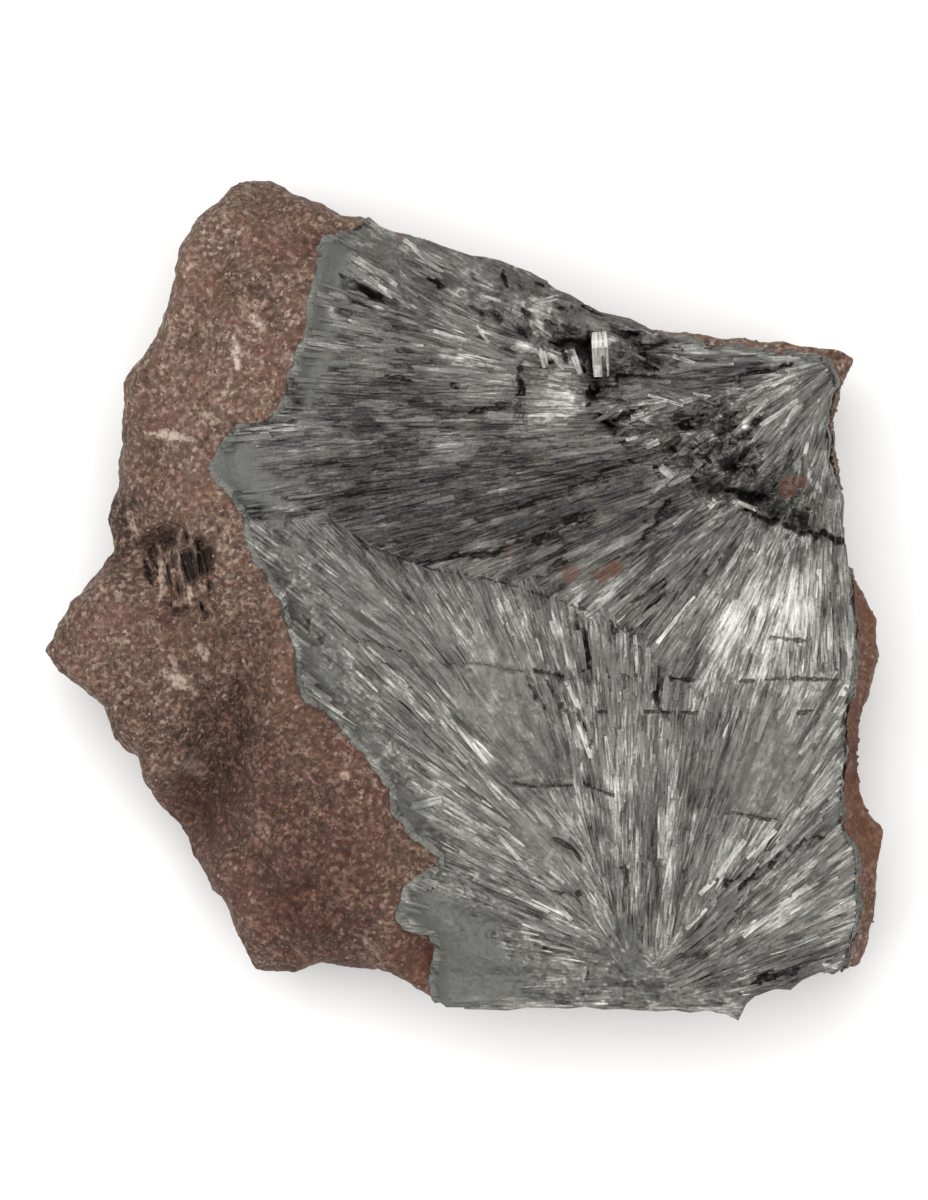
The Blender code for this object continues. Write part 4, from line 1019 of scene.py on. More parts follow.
@dataclass
class FaceMap(PlanGrid):
    """The crystal face, cell by cell: its height, growth direction, relief, tone and condition."""

    low_x: float = -27.0
    low_y: float = -44.0
    high_x: float = 42.4
    high_y: float = 40.0
    cell: float = 0.12
    seed: int = 5
    tooth: float = 0.45                 # width of the blade ends that interlock where the sprays meet
    tooth_depth: float = 1.2
    toothed: tuple[float, float] = (-10.0, 4.0)  # from where to where along X they grow to full depth
    meet_reach: float = 0.9             # how far the step between the sprays is eased
    seam_reach: float = 0.2             # half the width of the seam itself
    seam_rise: float = 0.04
    seam_light: float = 0.06
    ragged: float = 2.6                 # softness of the noises that fray patches and clefts, in cells
    patchy: float = 12.0
    frayed: float = 1.6
    fibrous: tuple[float, float] = (0.7, 2.2)    # width and reach of combed grain: in patches,
    stranded: tuple[float, float] = (0.45, 0.8)  # in clefts,
    striped: tuple[float, float] = (0.6, 1.5)    # in bands,
    gap_grain: tuple[float, float] = (0.72, 1.5)  # where it opens gaps,
    glint_grain: tuple[float, float] = (0.5, 0.7)  # where it glints
    bunch_grain: tuple[float, float] = (1.4, 3.0)  # and where it gathers both in bunches
    edge_reach: float = 0.8
    cavity_reach: float = 1.1           # how wide a hollow may be to count as one
    deepest: float = 3.0
    crack_half_width: float = 0.10
    crack_depth: float = 0.3
    crack_shade: float = 0.32
    cleft_shade: float = 0.42
    gap_depth: float = 0.20
    gap_shade: float = 0.26
    glint_rise: float = 0.03
    glint_tone: float = 0.18
    band_bend: float = 0.3              # how far the edges of the bands wander
    upper_bands: float = 0.45
    upper_streaks: float = 0.5
    lath_keep: float = 0.6              # how much of the level and tone under it a lath takes on
    lath_camber: float = 0.1
    lath_rim: float = 0.09              # width of the rim along a lath that is painted darker, as painted shade between laths
    lath_rim_shade: float = 0.05
    splinter: float = 0.5               # how unevenly a lath ends
    fragment_bend: float = 0.22
    fragment_rise: float = 0.15
    fragment_gap: float = 0.22
    fragment_tone: float = 0.11
    fragment_gap_shade: float = 0.14
    skin_share: float = 0.8             # how strongly skin, stain, and soot with painted shade in hollows show in the finish
    stain_share: float = 0.72
    soot_and_shade_share: float = 0.75
    home_pull: float = 0.02             # how fast a walk turns to the growth direction
    spill: float = 0.8                  # how far blades cross the line where the sprays meet
    hubs: tuple[tuple[float, float], tuple[float, float]] = ((24.5, 14.0), (17.5, -34.0))
    laths: tuple[LathSize, ...] = (
        LathSize(330, (1.0, 2.6), (4.0, 14.0), 0.12, 0.08, 0.085),
        LathSize(1500, (0.45, 1.1), (2.5, 9.0), 0.08, 0.14, 0.085),
        LathSize(4200, (0.25, 0.5), (0.8, 3.6), 0.04, 0.12, 0.055),
    )
    streaks: tuple[Streak, ...] = (
        Streak(0.36, 0.8, 0.02, 0.03), Streak(0.8, 2.6, 0.04, 0.034), Streak(1.8, 7.0, 0.10, 0.04),
    )
    fragments: tuple[tuple[float, float], ...] = ((1.3, 0.8), (0.62, 0.8))

    def __post_init__(self) -> None:
        """Lay the cells out and work out what they hold."""
        self.lay_out()
        height = self.heights("pyrolusite_sprays")
        self.inside = (~np.isnan(height)).astype(float)
        self.height = self.softened(np.nan_to_num(height), self.inside, 0.3)
        self.part_sprays()
        self.close_seam()
        self.read_growth()
        self.read_condition()
        self.break_face()
        log.info("face map: %d by %d cells", *self.x.shape)

    def sum_of(self, marks: tuple[Patch | Stroke, ...]) -> Grid:
        """The marks' shares added up in each cell."""
        return patch_sum(marks, self.x, self.y)

    def soft_noise(self, softness: float, draw: int) -> Grid:
        """Soft random noise over the cells, from the draw of that number."""
        return even_noise(self.x.shape, softness, self.seed + draw)

    def part_sprays(self) -> None:
        """Say which cells the upper spray fills, with blade ends that interlock on the right."""
        rng = np.random.default_rng(self.seed)
        across = np.arange(self.low_x, self.high_x, self.tooth)
        teeth = rng.uniform(-self.tooth_depth, self.tooth_depth, len(across))
        teeth *= smooth_share(across, *self.toothed)
        boundary_x, boundary_y = np.array(SPRAY_BOUNDARY).T
        edge = np.interp(self.x, boundary_x, boundary_y) + np.interp(self.x, across, teeth)
        self.past = self.y - edge
        self.is_upper = self.past > 0.0

    def close_seam(self) -> None:
        """Ease the step where the sprays meet, so that no shadow gap opens between them."""
        upper = self.is_upper.astype(float)
        near, seam = (blurred(upper, reach / self.cell) for reach in (self.meet_reach, self.seam_reach))
        self.meet = np.clip(4.0 * near * (1.0 - near), 0.0, 1.0)
        self.seam = 4.0 * seam * (1.0 - seam)
        self.height += self.meet * (self.softened(self.height, self.inside, 1.0) - self.height)

    def read_growth(self) -> None:
        """Turn the growth direction smoothly between the crystals drawn near each cell."""
        self.way_x, self.way_y = np.zeros(self.x.shape), np.zeros(self.x.shape)
        for crystals, here in ((UPPER_CRYSTALS, self.is_upper), (LOWER_CRYSTALS, ~self.is_upper)):
            x, y = self.x[here], self.y[here]
            total_x, total_y = np.zeros(x.shape), np.zeros(x.shape)
            for x1, y1, x2, y2 in crystals:
                weight = (line_distance(((x1, y1), (x2, y2)), x, y) ** 2 + 1.0) ** -1.5
                angle = 2.0 * math.atan2(y2 - y1, x2 - x1)
                total_x += weight * math.cos(angle)
                total_y += weight * math.sin(angle)
            angle = 0.5 * np.arctan2(total_y, total_x)
            self.way_x[here], self.way_y[here] = np.cos(angle), np.sin(angle)

    def read_condition(self) -> None:
        """Work out skin, stains, cavities, cracks and where crystals may lie."""
        ragged, patchy = self.soft_noise(self.ragged, 0), self.soft_noise(self.patchy, 1)
        fibrous = self.combed(*self.fibrous, 2)
        self.edge = blurred(self.inside, self.edge_reach / self.cell)
        uneven = 0.16 * ragged + 0.12 * patchy + 0.14 * fibrous
        self.skin = smooth_share(self.sum_of(SKIN_PATCHES) + uneven, 0.35, 1.0)
        self.felt = smooth_share(self.sum_of(FELT_PATCHES) + uneven, 0.25, 0.95)
        stain = self.sum_of(STAIN_PATCHES) * (1.0 + 0.25 * ragged + 0.3 * fibrous)
        self.stain = smooth_share(stain, 0.35, 0.95)
        self.crumble = np.clip(self.sum_of(CRUMBLE_PATCHES), 0.0, 1.0)
        self.calm = np.clip(self.sum_of(CALM_PATCHES), 0.0, 1.0)
        level = self.softened(self.height, self.inside, self.cavity_reach)
        self.cavity = np.clip(level - self.height, 0.0, self.deepest) * smooth_share(self.edge, 0.62, 0.92)
        self.cavity *= 1.0 - 0.8 * self.meet
        crack = np.min([line_distance(line, self.x, self.y) for line in CRACKS], axis=0)
        self.crack = np.abs(crack + 0.07 * ragged) + 0.15 * np.clip(patchy, 0.0, 2.0)
        frayed = self.soft_noise(self.frayed, 3)
        frayed_x, frayed_y = self.x + 0.16 * ragged + 0.10 * frayed, self.y + 0.16 * fibrous - 0.12 * frayed
        strands = np.clip(1.0 + 0.45 * self.combed(*self.stranded, 4), 0.0, 1.5)
        self.cleft = patch_sum(CLEFTS, frayed_x, frayed_y) * strands
        self.is_whole = (self.edge > 0.5) & (self.crack > self.crack_half_width) & (self.cleft < 0.25)

    def break_face(self) -> None:
        """Give the face the relief and tone of packed laths, with fragments, felt, gaps and cracks."""
        rng = np.random.default_rng(self.seed)
        self.relief, self.tone = np.zeros(self.x.shape), np.zeros(self.x.shape)
        for size in self.laths:
            self.lay_laths(size, rng)
        self.relief, self.tone = blurred(self.relief, 0.7), blurred(self.tone, 0.6)
        for number, streak in enumerate(self.streaks):
            grain = self.combed(streak.width, streak.reach, 10 + number)
            self.relief += streak.relief * grain
            self.tone += streak.tone * grain * (1.0 + self.upper_streaks * self.is_upper)
        self.open_gaps()
        self.add_grit()
        for number, (size, amount) in enumerate(self.fragments):
            self.add_fragments(size, amount, 40 + number)
        self.mark_face()
        self.ground = self.height + self.relief

    def open_gaps(self) -> None:
        """Open fine gaps between the fibres with painted shade in them, let some glint, and calm the felt
        and the skin.
        """
        strand, speck = self.combed(*self.gap_grain, 20), self.combed(*self.glint_grain, 21)
        bunch = self.soft_noise(9.0, 22) + 0.6 * self.combed(*self.bunch_grain, 23)
        gap = smooth_share(0.6 * bunch - strand, 1.1, 2.4)
        glint = smooth_share(speck - 0.4 * bunch, 1.4, 2.8)
        self.relief += self.glint_rise * glint - self.gap_depth * gap
        # painted shade in the gaps, painted glint on some fibres
        self.tone += self.glint_tone * glint - self.gap_shade * gap
        quiet = np.maximum(0.85 * self.calm, np.maximum(self.skin, 0.75 * self.felt))
        self.relief *= 1.0 - 0.9 * quiet
        self.tone *= 1.0 - 0.75 * quiet
        # a slight rise and painted light along the seam lift the shade of the step there
        self.relief += self.seam_rise * self.seam
        self.tone += self.seam_light * self.seam

    def mark_face(self) -> None:
        """Cut the cracks and clefts with painted shade in them, and lay the darker and brighter bands over
        the tone.
        """
        crack = 1.0 - smooth_share(self.crack, 0.02, 0.16)
        self.relief -= self.crack_depth * crack + self.cleft
        # painted shade darkens the cracks
        self.tone += self.sum_of(TONE_PATCHES) - self.crack_shade * crack
        # the tone patches above and the bands below are partly the crystals' own tone, partly painted light
        # and shade of faces tilted to or from the light
        bend_x, bend_y = (self.band_bend * self.soft_noise(3.0, draw) for draw in (60, 61))
        bands = patch_sum(TONE_STROKES, self.x + bend_x, self.y + bend_y)
        bands *= 1.0 + self.upper_bands * self.is_upper
        self.tone += bands * np.clip(1.0 + 0.5 * self.combed(*self.striped, 24), 0.0, 2.0)
        # painted shade in the clefts
        self.tone -= self.cleft_shade * smooth_share(self.cleft, 0.0, 0.7)

    def add_grit(self) -> None:
        """Add fine grit everywhere, and coarser grit on felt and skin."""
        fine, coarse = self.soft_noise(1.1, 30), self.soft_noise(3.0, 31)
        self.relief += fine * (0.016 + 0.03 * self.felt) + 0.05 * coarse * self.felt
        bare = 1.0 - 0.7 * self.skin
        self.tone += fine * (0.03 + 0.05 * self.felt) * bare + coarse * (0.02 + 0.05 * self.felt) * bare

    def add_fragments(self, size: float, amount: float, draw: int) -> None:
        """Break the crumbled patches into angular fragments, each with its own level and tone; the tone also
        follows the fragment's slope as painted light and shade, and the gaps between them get painted shade.

        Args:
            size: about how far apart the fragments are, in millimetres.
            amount: how strongly they show.
            draw: the number of the random draw.
        """
        rng = np.random.default_rng(self.seed + draw)
        shape = (int((self.high_y - self.low_y) / size) + 4, int((self.high_x - self.low_x) / size) + 4)
        shift_x, shift_y = rng.random(shape), rng.random(shape)
        level, shade, slope_x, slope_y = (rng.normal(0.0, 1.0, shape) for _ in range(4))
        bend_x, bend_y = (self.fragment_bend * self.soft_noise(5.0, draw + extra) for extra in (50, 51))
        across = (self.x - self.low_x) / size + 1.0 + bend_x
        up = (self.y - self.low_y) / size + 1.0 + bend_y
        nearest, second = np.full(across.shape, np.inf), np.full(across.shape, np.inf)
        height, tone = np.zeros(across.shape), np.zeros(across.shape)
        for step_row, step_column in itertools.product((-1, 0, 1), repeat=2):
            row = np.clip(up.astype(int) + step_row, 0, shape[0] - 1)
            column = np.clip(across.astype(int) + step_column, 0, shape[1] - 1)
            here = row, column
            off_x, off_y = across - column - shift_x[here], up - row - shift_y[here]
            away = np.hypot(off_x, off_y)
            is_nearest = away < nearest
            second = np.where(is_nearest, nearest, np.minimum(second, away))
            nearest = np.where(is_nearest, away, nearest)
            tilt = slope_x[here] * off_x + slope_y[here] * off_y
            height = np.where(is_nearest, level[here] + tilt, height)
            # the fragment's own tone, plus painted light and shade from its slope along Y
            tone = np.where(is_nearest, shade[here] + slope_y[here], tone)
        gap = 1.0 - smooth_share(second - nearest, 0.03, 0.24)
        share = amount * self.crumble
        self.relief += share * size * (self.fragment_rise * height - self.fragment_gap * gap)
        # painted shade in the gaps between fragments
        self.tone += share * (self.fragment_tone * tone - self.fragment_gap_shade * gap)

    def lay_laths(self, size: LathSize, rng: Generator) -> None:
        """Lay laths of one size over the face, each with its own height, slope and tone.

        Args:
            size: the laths' size.
            rng: the random numbers.
        """
        x, y = self.starts(size.count, self.is_whole, rng)
        crumble = self.read(self.crumble, x, y)
        length = rng.uniform(*size.length, size.count) * (1.0 - 0.6 * crumble)
        stray = rng.normal(0.0, 1.0, size.count) * (0.03 + 0.7 * crumble)
        width = rng.uniform(*size.width, size.count) * (1.0 - 0.3 * crumble)
        lift, slope, tone = (rng.normal(0.0, spread, size.count) * (1.0 + crumble)
                             for spread in (size.lift, size.slope, size.tone))
        for index, line in enumerate(self.lines(x, y, length, stray, rng)):
            if len(line) < 4:
                continue
            along = np.gradient(line, axis=0)
            along /= np.linalg.norm(along, axis=1)[:, None]
            across = np.arange(-0.5, 0.5, 0.6 * self.cell / width[index])
            offset = across * width[index]
            row, column = self.cell_of(line[:, :1] - along[:, 1:] * offset,
                                       line[:, 1:] + along[:, :1] * offset)
            step = np.arange(len(line))[:, None]
            splinter = rng.uniform(0.0, self.splinter / self.cell, (2, len(across)))
            kept = (step >= splinter[0]) & (step <= len(line) - 1 - splinter[1])
            middle = self.cell_of(line[len(line) // 2, :1], line[len(line) // 2, 1:])
            level = self.lath_keep * self.relief[middle] + lift[index] + slope[index] * offset
            # painted shade: the rim of each lath is darker, as in the gap to the next
            is_rim = np.abs(across) > 0.5 - self.lath_rim / width[index]
            shade = self.lath_keep * self.tone[middle] + tone[index] - self.lath_rim_shade * is_rim
            here = row[kept], column[kept]
            for grid, values in ((self.relief, level - self.lath_camber * np.abs(across)),
                                 (self.tone, shade)):
                grid[here] = np.broadcast_to(values, kept.shape)[kept]

    def starts(self, count: int, allowed: np.ndarray, rng: Generator) -> tuple[Points, Points]:
        """Random places in the allowed cells.

        Args:
            count: how many places.
            allowed: which cells may hold one.
            rng: the random numbers.

        Returns:
            The places' first and second coordinates.
        """
        rows, columns = np.nonzero(allowed)
        pick = rng.integers(0, len(rows), count)
        jitter = rng.uniform(-0.5, 0.5, (2, count)) * self.cell
        return self.x[rows[pick], columns[pick]] + jitter[0], self.y[rows[pick], columns[pick]] + jitter[1]

    def lines(self, x: Points, y: Points, length: Points, stray: Points, rng: Generator) -> list[Points]:
        """Lines along the growth direction through given places, with a point in every cell.

        Args:
            x, y: the places' coordinates.
            length: each line's length, if nothing stops it sooner.
            stray: the angle each line starts at to the growth direction.
            rng: the random numbers.

        Returns:
            Each line's points, from its outer end to its inner one.
        """
        share = rng.uniform(0.2, 0.8, len(x))
        back, back_steps = self.trace(x, y, -1.0, stray, length * share)
        ahead, ahead_steps = self.trace(x, y, 1.0, stray, length * (1.0 - share))
        return [np.concatenate((back[back_steps[index]:0:-1, index], ahead[:ahead_steps[index] + 1, index]))
                for index in range(len(x))]

    def trace(self, x: Points, y: Points, turn: float, stray: Points,
              reach: Points) -> tuple[Points, np.ndarray]:
        """Walk along the growth direction until a crack, the spray's edge or the wanted length.

        Args:
            x: the starts' first coordinates.
            y: the starts' second coordinates.
            turn: 1 to walk one way along the crystals and -1 to walk the other.
            stray: the angle each walk starts at to the growth direction.
            reach: how far each walk may go.

        Returns:
            The places after each step, and how many steps each walk took.
        """
        steps = int(reach.max() / self.cell) + 1
        track = np.empty((steps + 1, len(x), 2))
        track[0] = np.column_stack((x, y))
        here = self.cell_of(x, y)
        home = np.where(self.is_upper[here], 1.0, -1.0)
        spill = self.spill * np.sin(37.0 * x + 91.0 * y)
        way_x, way_y = self.way_x[here] * turn, self.way_y[here] * turn
        ahead_x = way_x * np.cos(stray) - way_y * np.sin(stray)
        ahead_y = way_x * np.sin(stray) + way_y * np.cos(stray)
        going = np.ones(len(x), bool)
        taken = np.zeros(len(x), int)
        for step in range(1, steps + 1):
            x, y = x + ahead_x * self.cell, y + ahead_y * self.cell
            here = self.cell_of(x, y)
            going &= self.is_whole[here] & (self.past[here] * home > spill) & (step * self.cell <= reach)
            track[step] = np.column_stack((x, y))
            taken += going
            way_x, way_y = self.way_x[here], self.way_y[here]
            pull = self.home_pull * np.sign(way_x * ahead_x + way_y * ahead_y)
            ahead_x, ahead_y = ahead_x + pull * way_x, ahead_y + pull * way_y
            size = np.hypot(ahead_x, ahead_y)
            ahead_x, ahead_y = ahead_x / size, ahead_y / size
        return track, taken

    def combed(self, width: float, reach: float, draw: int) -> Grid:
        """Random grain drawn out along the growth direction.

        Args:
            width: how wide the streaks are, in millimetres.
            reach: how far each streak runs to both sides, in millimetres.
            draw: the number of the random draw.

        Returns:
            A grid with a mean of 0 and a spread of 1.
        """
        grain = self.soft_noise(max(width / self.cell / 2.5, 0.7), draw)
        total = grain.copy()
        step = 1.5 * self.cell
        for turn in (1.0, -1.0):
            x, y = self.x.copy(), self.y.copy()
            ahead_x, ahead_y = self.way_x * turn, self.way_y * turn
            for _ in range(int(reach / step)):
                x += ahead_x * step
                y += ahead_y * step
                here = self.cell_of(x, y)
                way_x, way_y = self.way_x[here], self.way_y[here]
                sign = np.where(way_x * ahead_x + way_y * ahead_y < 0.0, -1.0, 1.0)
                ahead_x, ahead_y = way_x * sign, way_y * sign
                total += grain[here]
        return (total - total.mean()) / total.std()

    def ways(self, places: Points) -> Points:
        """The growth direction at each place, turned away from the middle of its spray.

        Args:
            places: the places in millimetres.

        Returns:
            The direction's parts along X and Y, one row each.
        """
        x, y = places[:, 0], places[:, 1]
        here = self.cell_of(x, y)
        hub_x, hub_y = np.where(self.is_upper[here], *np.array(self.hubs)[:, :, None])
        way_x, way_y = self.way_x[here], self.way_y[here]
        outward = np.where((x - hub_x) * way_x + (y - hub_y) * way_y < 0.0, -1.0, 1.0)
        return np.column_stack((way_x, way_y)) * outward[:, None]

    def dress(self, mesh: Mesh, tone: Points, places: Points, ways: Points) -> None:
        """Store what the crystal finish reads, from the face's condition under each vertex.

        Args:
            mesh: the mesh to store it on.
            tone: how light each vertex is, from 0 to 1.
            places: the vertices in millimetres.
            ways: which way the fibres run at each vertex, in plan.
        """
        x, y = places[:, 0], places[:, 1]
        skin, calm, stain, cavity, cleft, crumble = (
            self.read(grid, x, y)
            for grid in (self.skin, self.calm, self.stain, self.cavity, self.cleft, self.crumble))
        # soot with painted shade: darker the deeper the hollow or cleft under the vertex
        soot = (self.soot_and_shade_share - 0.40 * crumble) * smooth_share(cavity + 0.7 * cleft, 0.3, 1.5)
        for name, values in (
                ("way_x", ways[:, 0]), ("way_y", ways[:, 1]), ("tone", np.clip(tone, 0.0, 1.0)),
                ("skin", self.skin_share * skin), ("stain", self.stain_share * stain), ("soot", soot),
                ("fibre", np.clip(1.05 - 0.65 * calm - 0.7 * skin, 0.2, 1.1))):
            set_attribute(mesh, name, values)


@dataclass
class SprayGround:
    """The body of the sprays: the solid, with the relief of packed laths on its face.

    It is made as three closed pieces that meet in hidden upright planes.
    """

    face: FaceMap
    meeting: MeetingLine
    rock: BVHTree
    partings: tuple[float, ...] = (43.0, 9.0, -12.5, -43.0)
    across_edge: float = 0.20           # edge lengths: across the crystals,
    along_edge: float = 0.70            # along them,
    open_edge: float = 0.24             # in rubble, felt, cracks and clefts,
    skin_edge: float = 0.34             # on smooth skin,
    side_edge: float = 0.6
    under_edge: float = 3.0             # and on the hidden underside
    side_depth: float = 0.8
    foot: float = 14.6                  # the sides begin at this height
    even_out: float = 0.85
    even_limit: float = 0.8
    chip: float = 0.25                  # how deep the sides are chipped
    side_mottle: float = 0.10
    side_shade: float = -0.06
    meeting_foot: float = 17.0
    search: float = 2.5
    gap_reach: float = 0.7              # the widest gap to the rock that is closed
    bite: float = 0.08                  # how far into the rock a closed gap goes
    overlap: float = 0.3

    def stretch(self, middle: Points, span: Points) -> Points:
        """How many times its allowed length each edge is: long along the crystals, short across.

        Args:
            middle: the edges' middles.
            span: from one end of each edge to the other.

        Returns:
            The lengths, as multiples of what is allowed.
        """
        x, y, z = middle.T
        face, here = self.face, self.face.cell_of(x, y)
        length = np.linalg.norm(span, axis=1)
        way_x, way_y = face.way_x[here], face.way_y[here]
        along = span[:, 0] * way_x + span[:, 1] * way_y
        across = np.hypot(span[:, 0] * way_y - span[:, 1] * way_x, span[:, 2])
        excess = np.hypot(along / self.along_edge, across / self.across_edge)
        is_open = (face.crack[here] < 0.3) | (face.crumble[here] > 0.5) | (face.cleft[here] > 0.05)
        is_open |= (face.felt[here] > 0.6) | (face.seam[here] > 0.05)
        for is_such, edge in ((is_open, self.open_edge), (face.skin[here] > 0.6, self.skin_edge),
                              (z < face.height[here] - self.side_depth, self.side_edge),
                              (z < self.foot, self.under_edge)):
            excess = np.where(is_such, length / edge, excess)
        return excess

    def build(self, material: Material) -> None:
        """Make the three pieces, from the far side of the face to the near one.

        Args:
            material: the crystal finish.
        """
        for name, high, low in zip(("far", "middle", "near"), self.partings, self.partings[1:]):
            shape = merged_copy("pyrolusite_sprays")
            for parting, outward in ((high, 1.0), (low, -1.0)):
                everything = shape.verts[:] + shape.edges[:] + shape.faces[:]
                bmesh.ops.bisect_plane(shape, geom=everything, plane_co=(0.0, parting, 0.0),
                                       plane_no=(0.0, outward, 0.0), clear_outer=True)
                bmesh.ops.holes_fill(shape, edges=shape.edges, sides=0)
            bmesh.ops.triangulate(shape, faces=[face for face in shape.faces if len(face.verts) > 3])
            bmesh.ops.recalc_face_normals(shape, faces=shape.faces)
            refine(shape, self.stretch, 7)
            self.finish_piece(mesh_object(f"spray_ground_{name}", shape), material)

    def finish_piece(self, piece: Object, material: Material) -> None:
        """Give a piece its relief, its tone and its material.

        Args:
            piece: the piece.
            material: the crystal finish.
        """
        face, mesh = self.face, piece.data
        places, normals = vertex_places(mesh), vertex_normals(mesh)
        x, y = places[:, 0].copy(), places[:, 1].copy()
        top = smooth_share(normals[:, 2], -0.05, 0.25) * smooth_share(places[:, 2], 15.5, 16.5)
        deep = smooth_share(face.read(face.inside, x, y), 0.6, 1.0)
        off = np.clip(face.read(face.height, x, y) - places[:, 2], -self.even_limit, self.even_limit)
        places[:, 2] += self.even_out * top * deep * off
        side = (1.0 - top) * smooth_share(places[:, 2], self.foot - 0.2, self.foot + 1.0)
        side *= np.abs(y[:, None] - self.partings).min(axis=1) > 0.02
        grit, coarse = lumps(places, 0.7), lumps(places, 2.2)
        inward = np.minimum(self.chip * (0.5 * grit + coarse) - 0.5 * self.chip, 0.0)
        places[:, :2] += normals[:, :2] * (side * inward)[:, None]
        self.meet_rock(places, side, normals)
        places[:, 2] += top * face.read(face.relief, x, y)
        set_vertex_places(mesh, places)
        tone = MIDDLE_TONE + top * face.read(face.tone, x, y)
        # the sides are mottled, and painted a little darker than the face as painted shade
        tone += (1.0 - top) * (self.side_mottle * grit + self.side_mottle * coarse + self.side_shade)
        face.dress(mesh, tone, places, face.ways(places))
        settle(piece, material, "pyrolusite_sprays")

    def meet_rock(self, places: Points, side: Points, normals: Points) -> None:
        """Bring the crystals' edge onto the rock that they grew fast to.

        Args:
            places: the vertices in millimetres, changed in place.
            side: how far each vertex belongs to a side.
            normals: the vertices' normals.
        """
        pull, level = self.meeting.pull(places)
        lowered = places[:, 2] + pull * (level - places[:, 2])
        is_near = (places[:, 2] > level - 0.5) & (places[:, 2] > self.meeting_foot)
        places[:, 2] = np.where(is_near, lowered, places[:, 2])
        ragged = lumps(places, 0.9)
        spread = self.overlap * (1.0 + ragged) * side * np.clip(pull * 1.5, 0.0, 1.0)
        for index in np.flatnonzero(side > 0.3):
            spot = self.rock.find_nearest(Vector(places[index]), self.search)[0]
            if spot is None:
                continue
            away = np.array(spot) - places[index]
            distance = math.hypot(away[0], away[1])
            if 0.01 < distance < self.gap_reach:
                places[index, :2] += away[:2] * (distance + self.bite) / distance
        places[:, :2] += normals[:, :2] * spread[:, None]


@dataclass(frozen=True)
class BladeSize:
    """Single blades of one size: how many, how wide and long, how far apart their points are, their
    thickness as a share of their width, how proud they lie as a share of it, how far they roll, how
    much lighter than the face the brightest are and how much of their width their ends keep at least."""

    name: str
    count: int
    width: tuple[float, float]
    length: tuple[float, float]
    step: float
    flatness: float
    proud: tuple[float, float]
    roll: float
    glint: float
    blunt: float


NEEDLES = BladeSize("needles", 2600, (0.14, 0.32), (1.0, 4.0), 0.8, 0.7, (-0.45, 0.30), 0.30, 0.28, 0.3)
BLADES = BladeSize("blades", 650, (0.30, 0.65), (2.0, 6.0), 1.2, 0.45, (-0.5, 0.15), 0.15, 0.14, 0.4)
# The marked crystals bring their own number, widths and lengths
MARKED = BladeSize("marked", 0, (0.0, 0.0), (0.0, 0.0), 0.9, 0.45, (0.15, 0.30), 0.08, 0.0, 0.85)


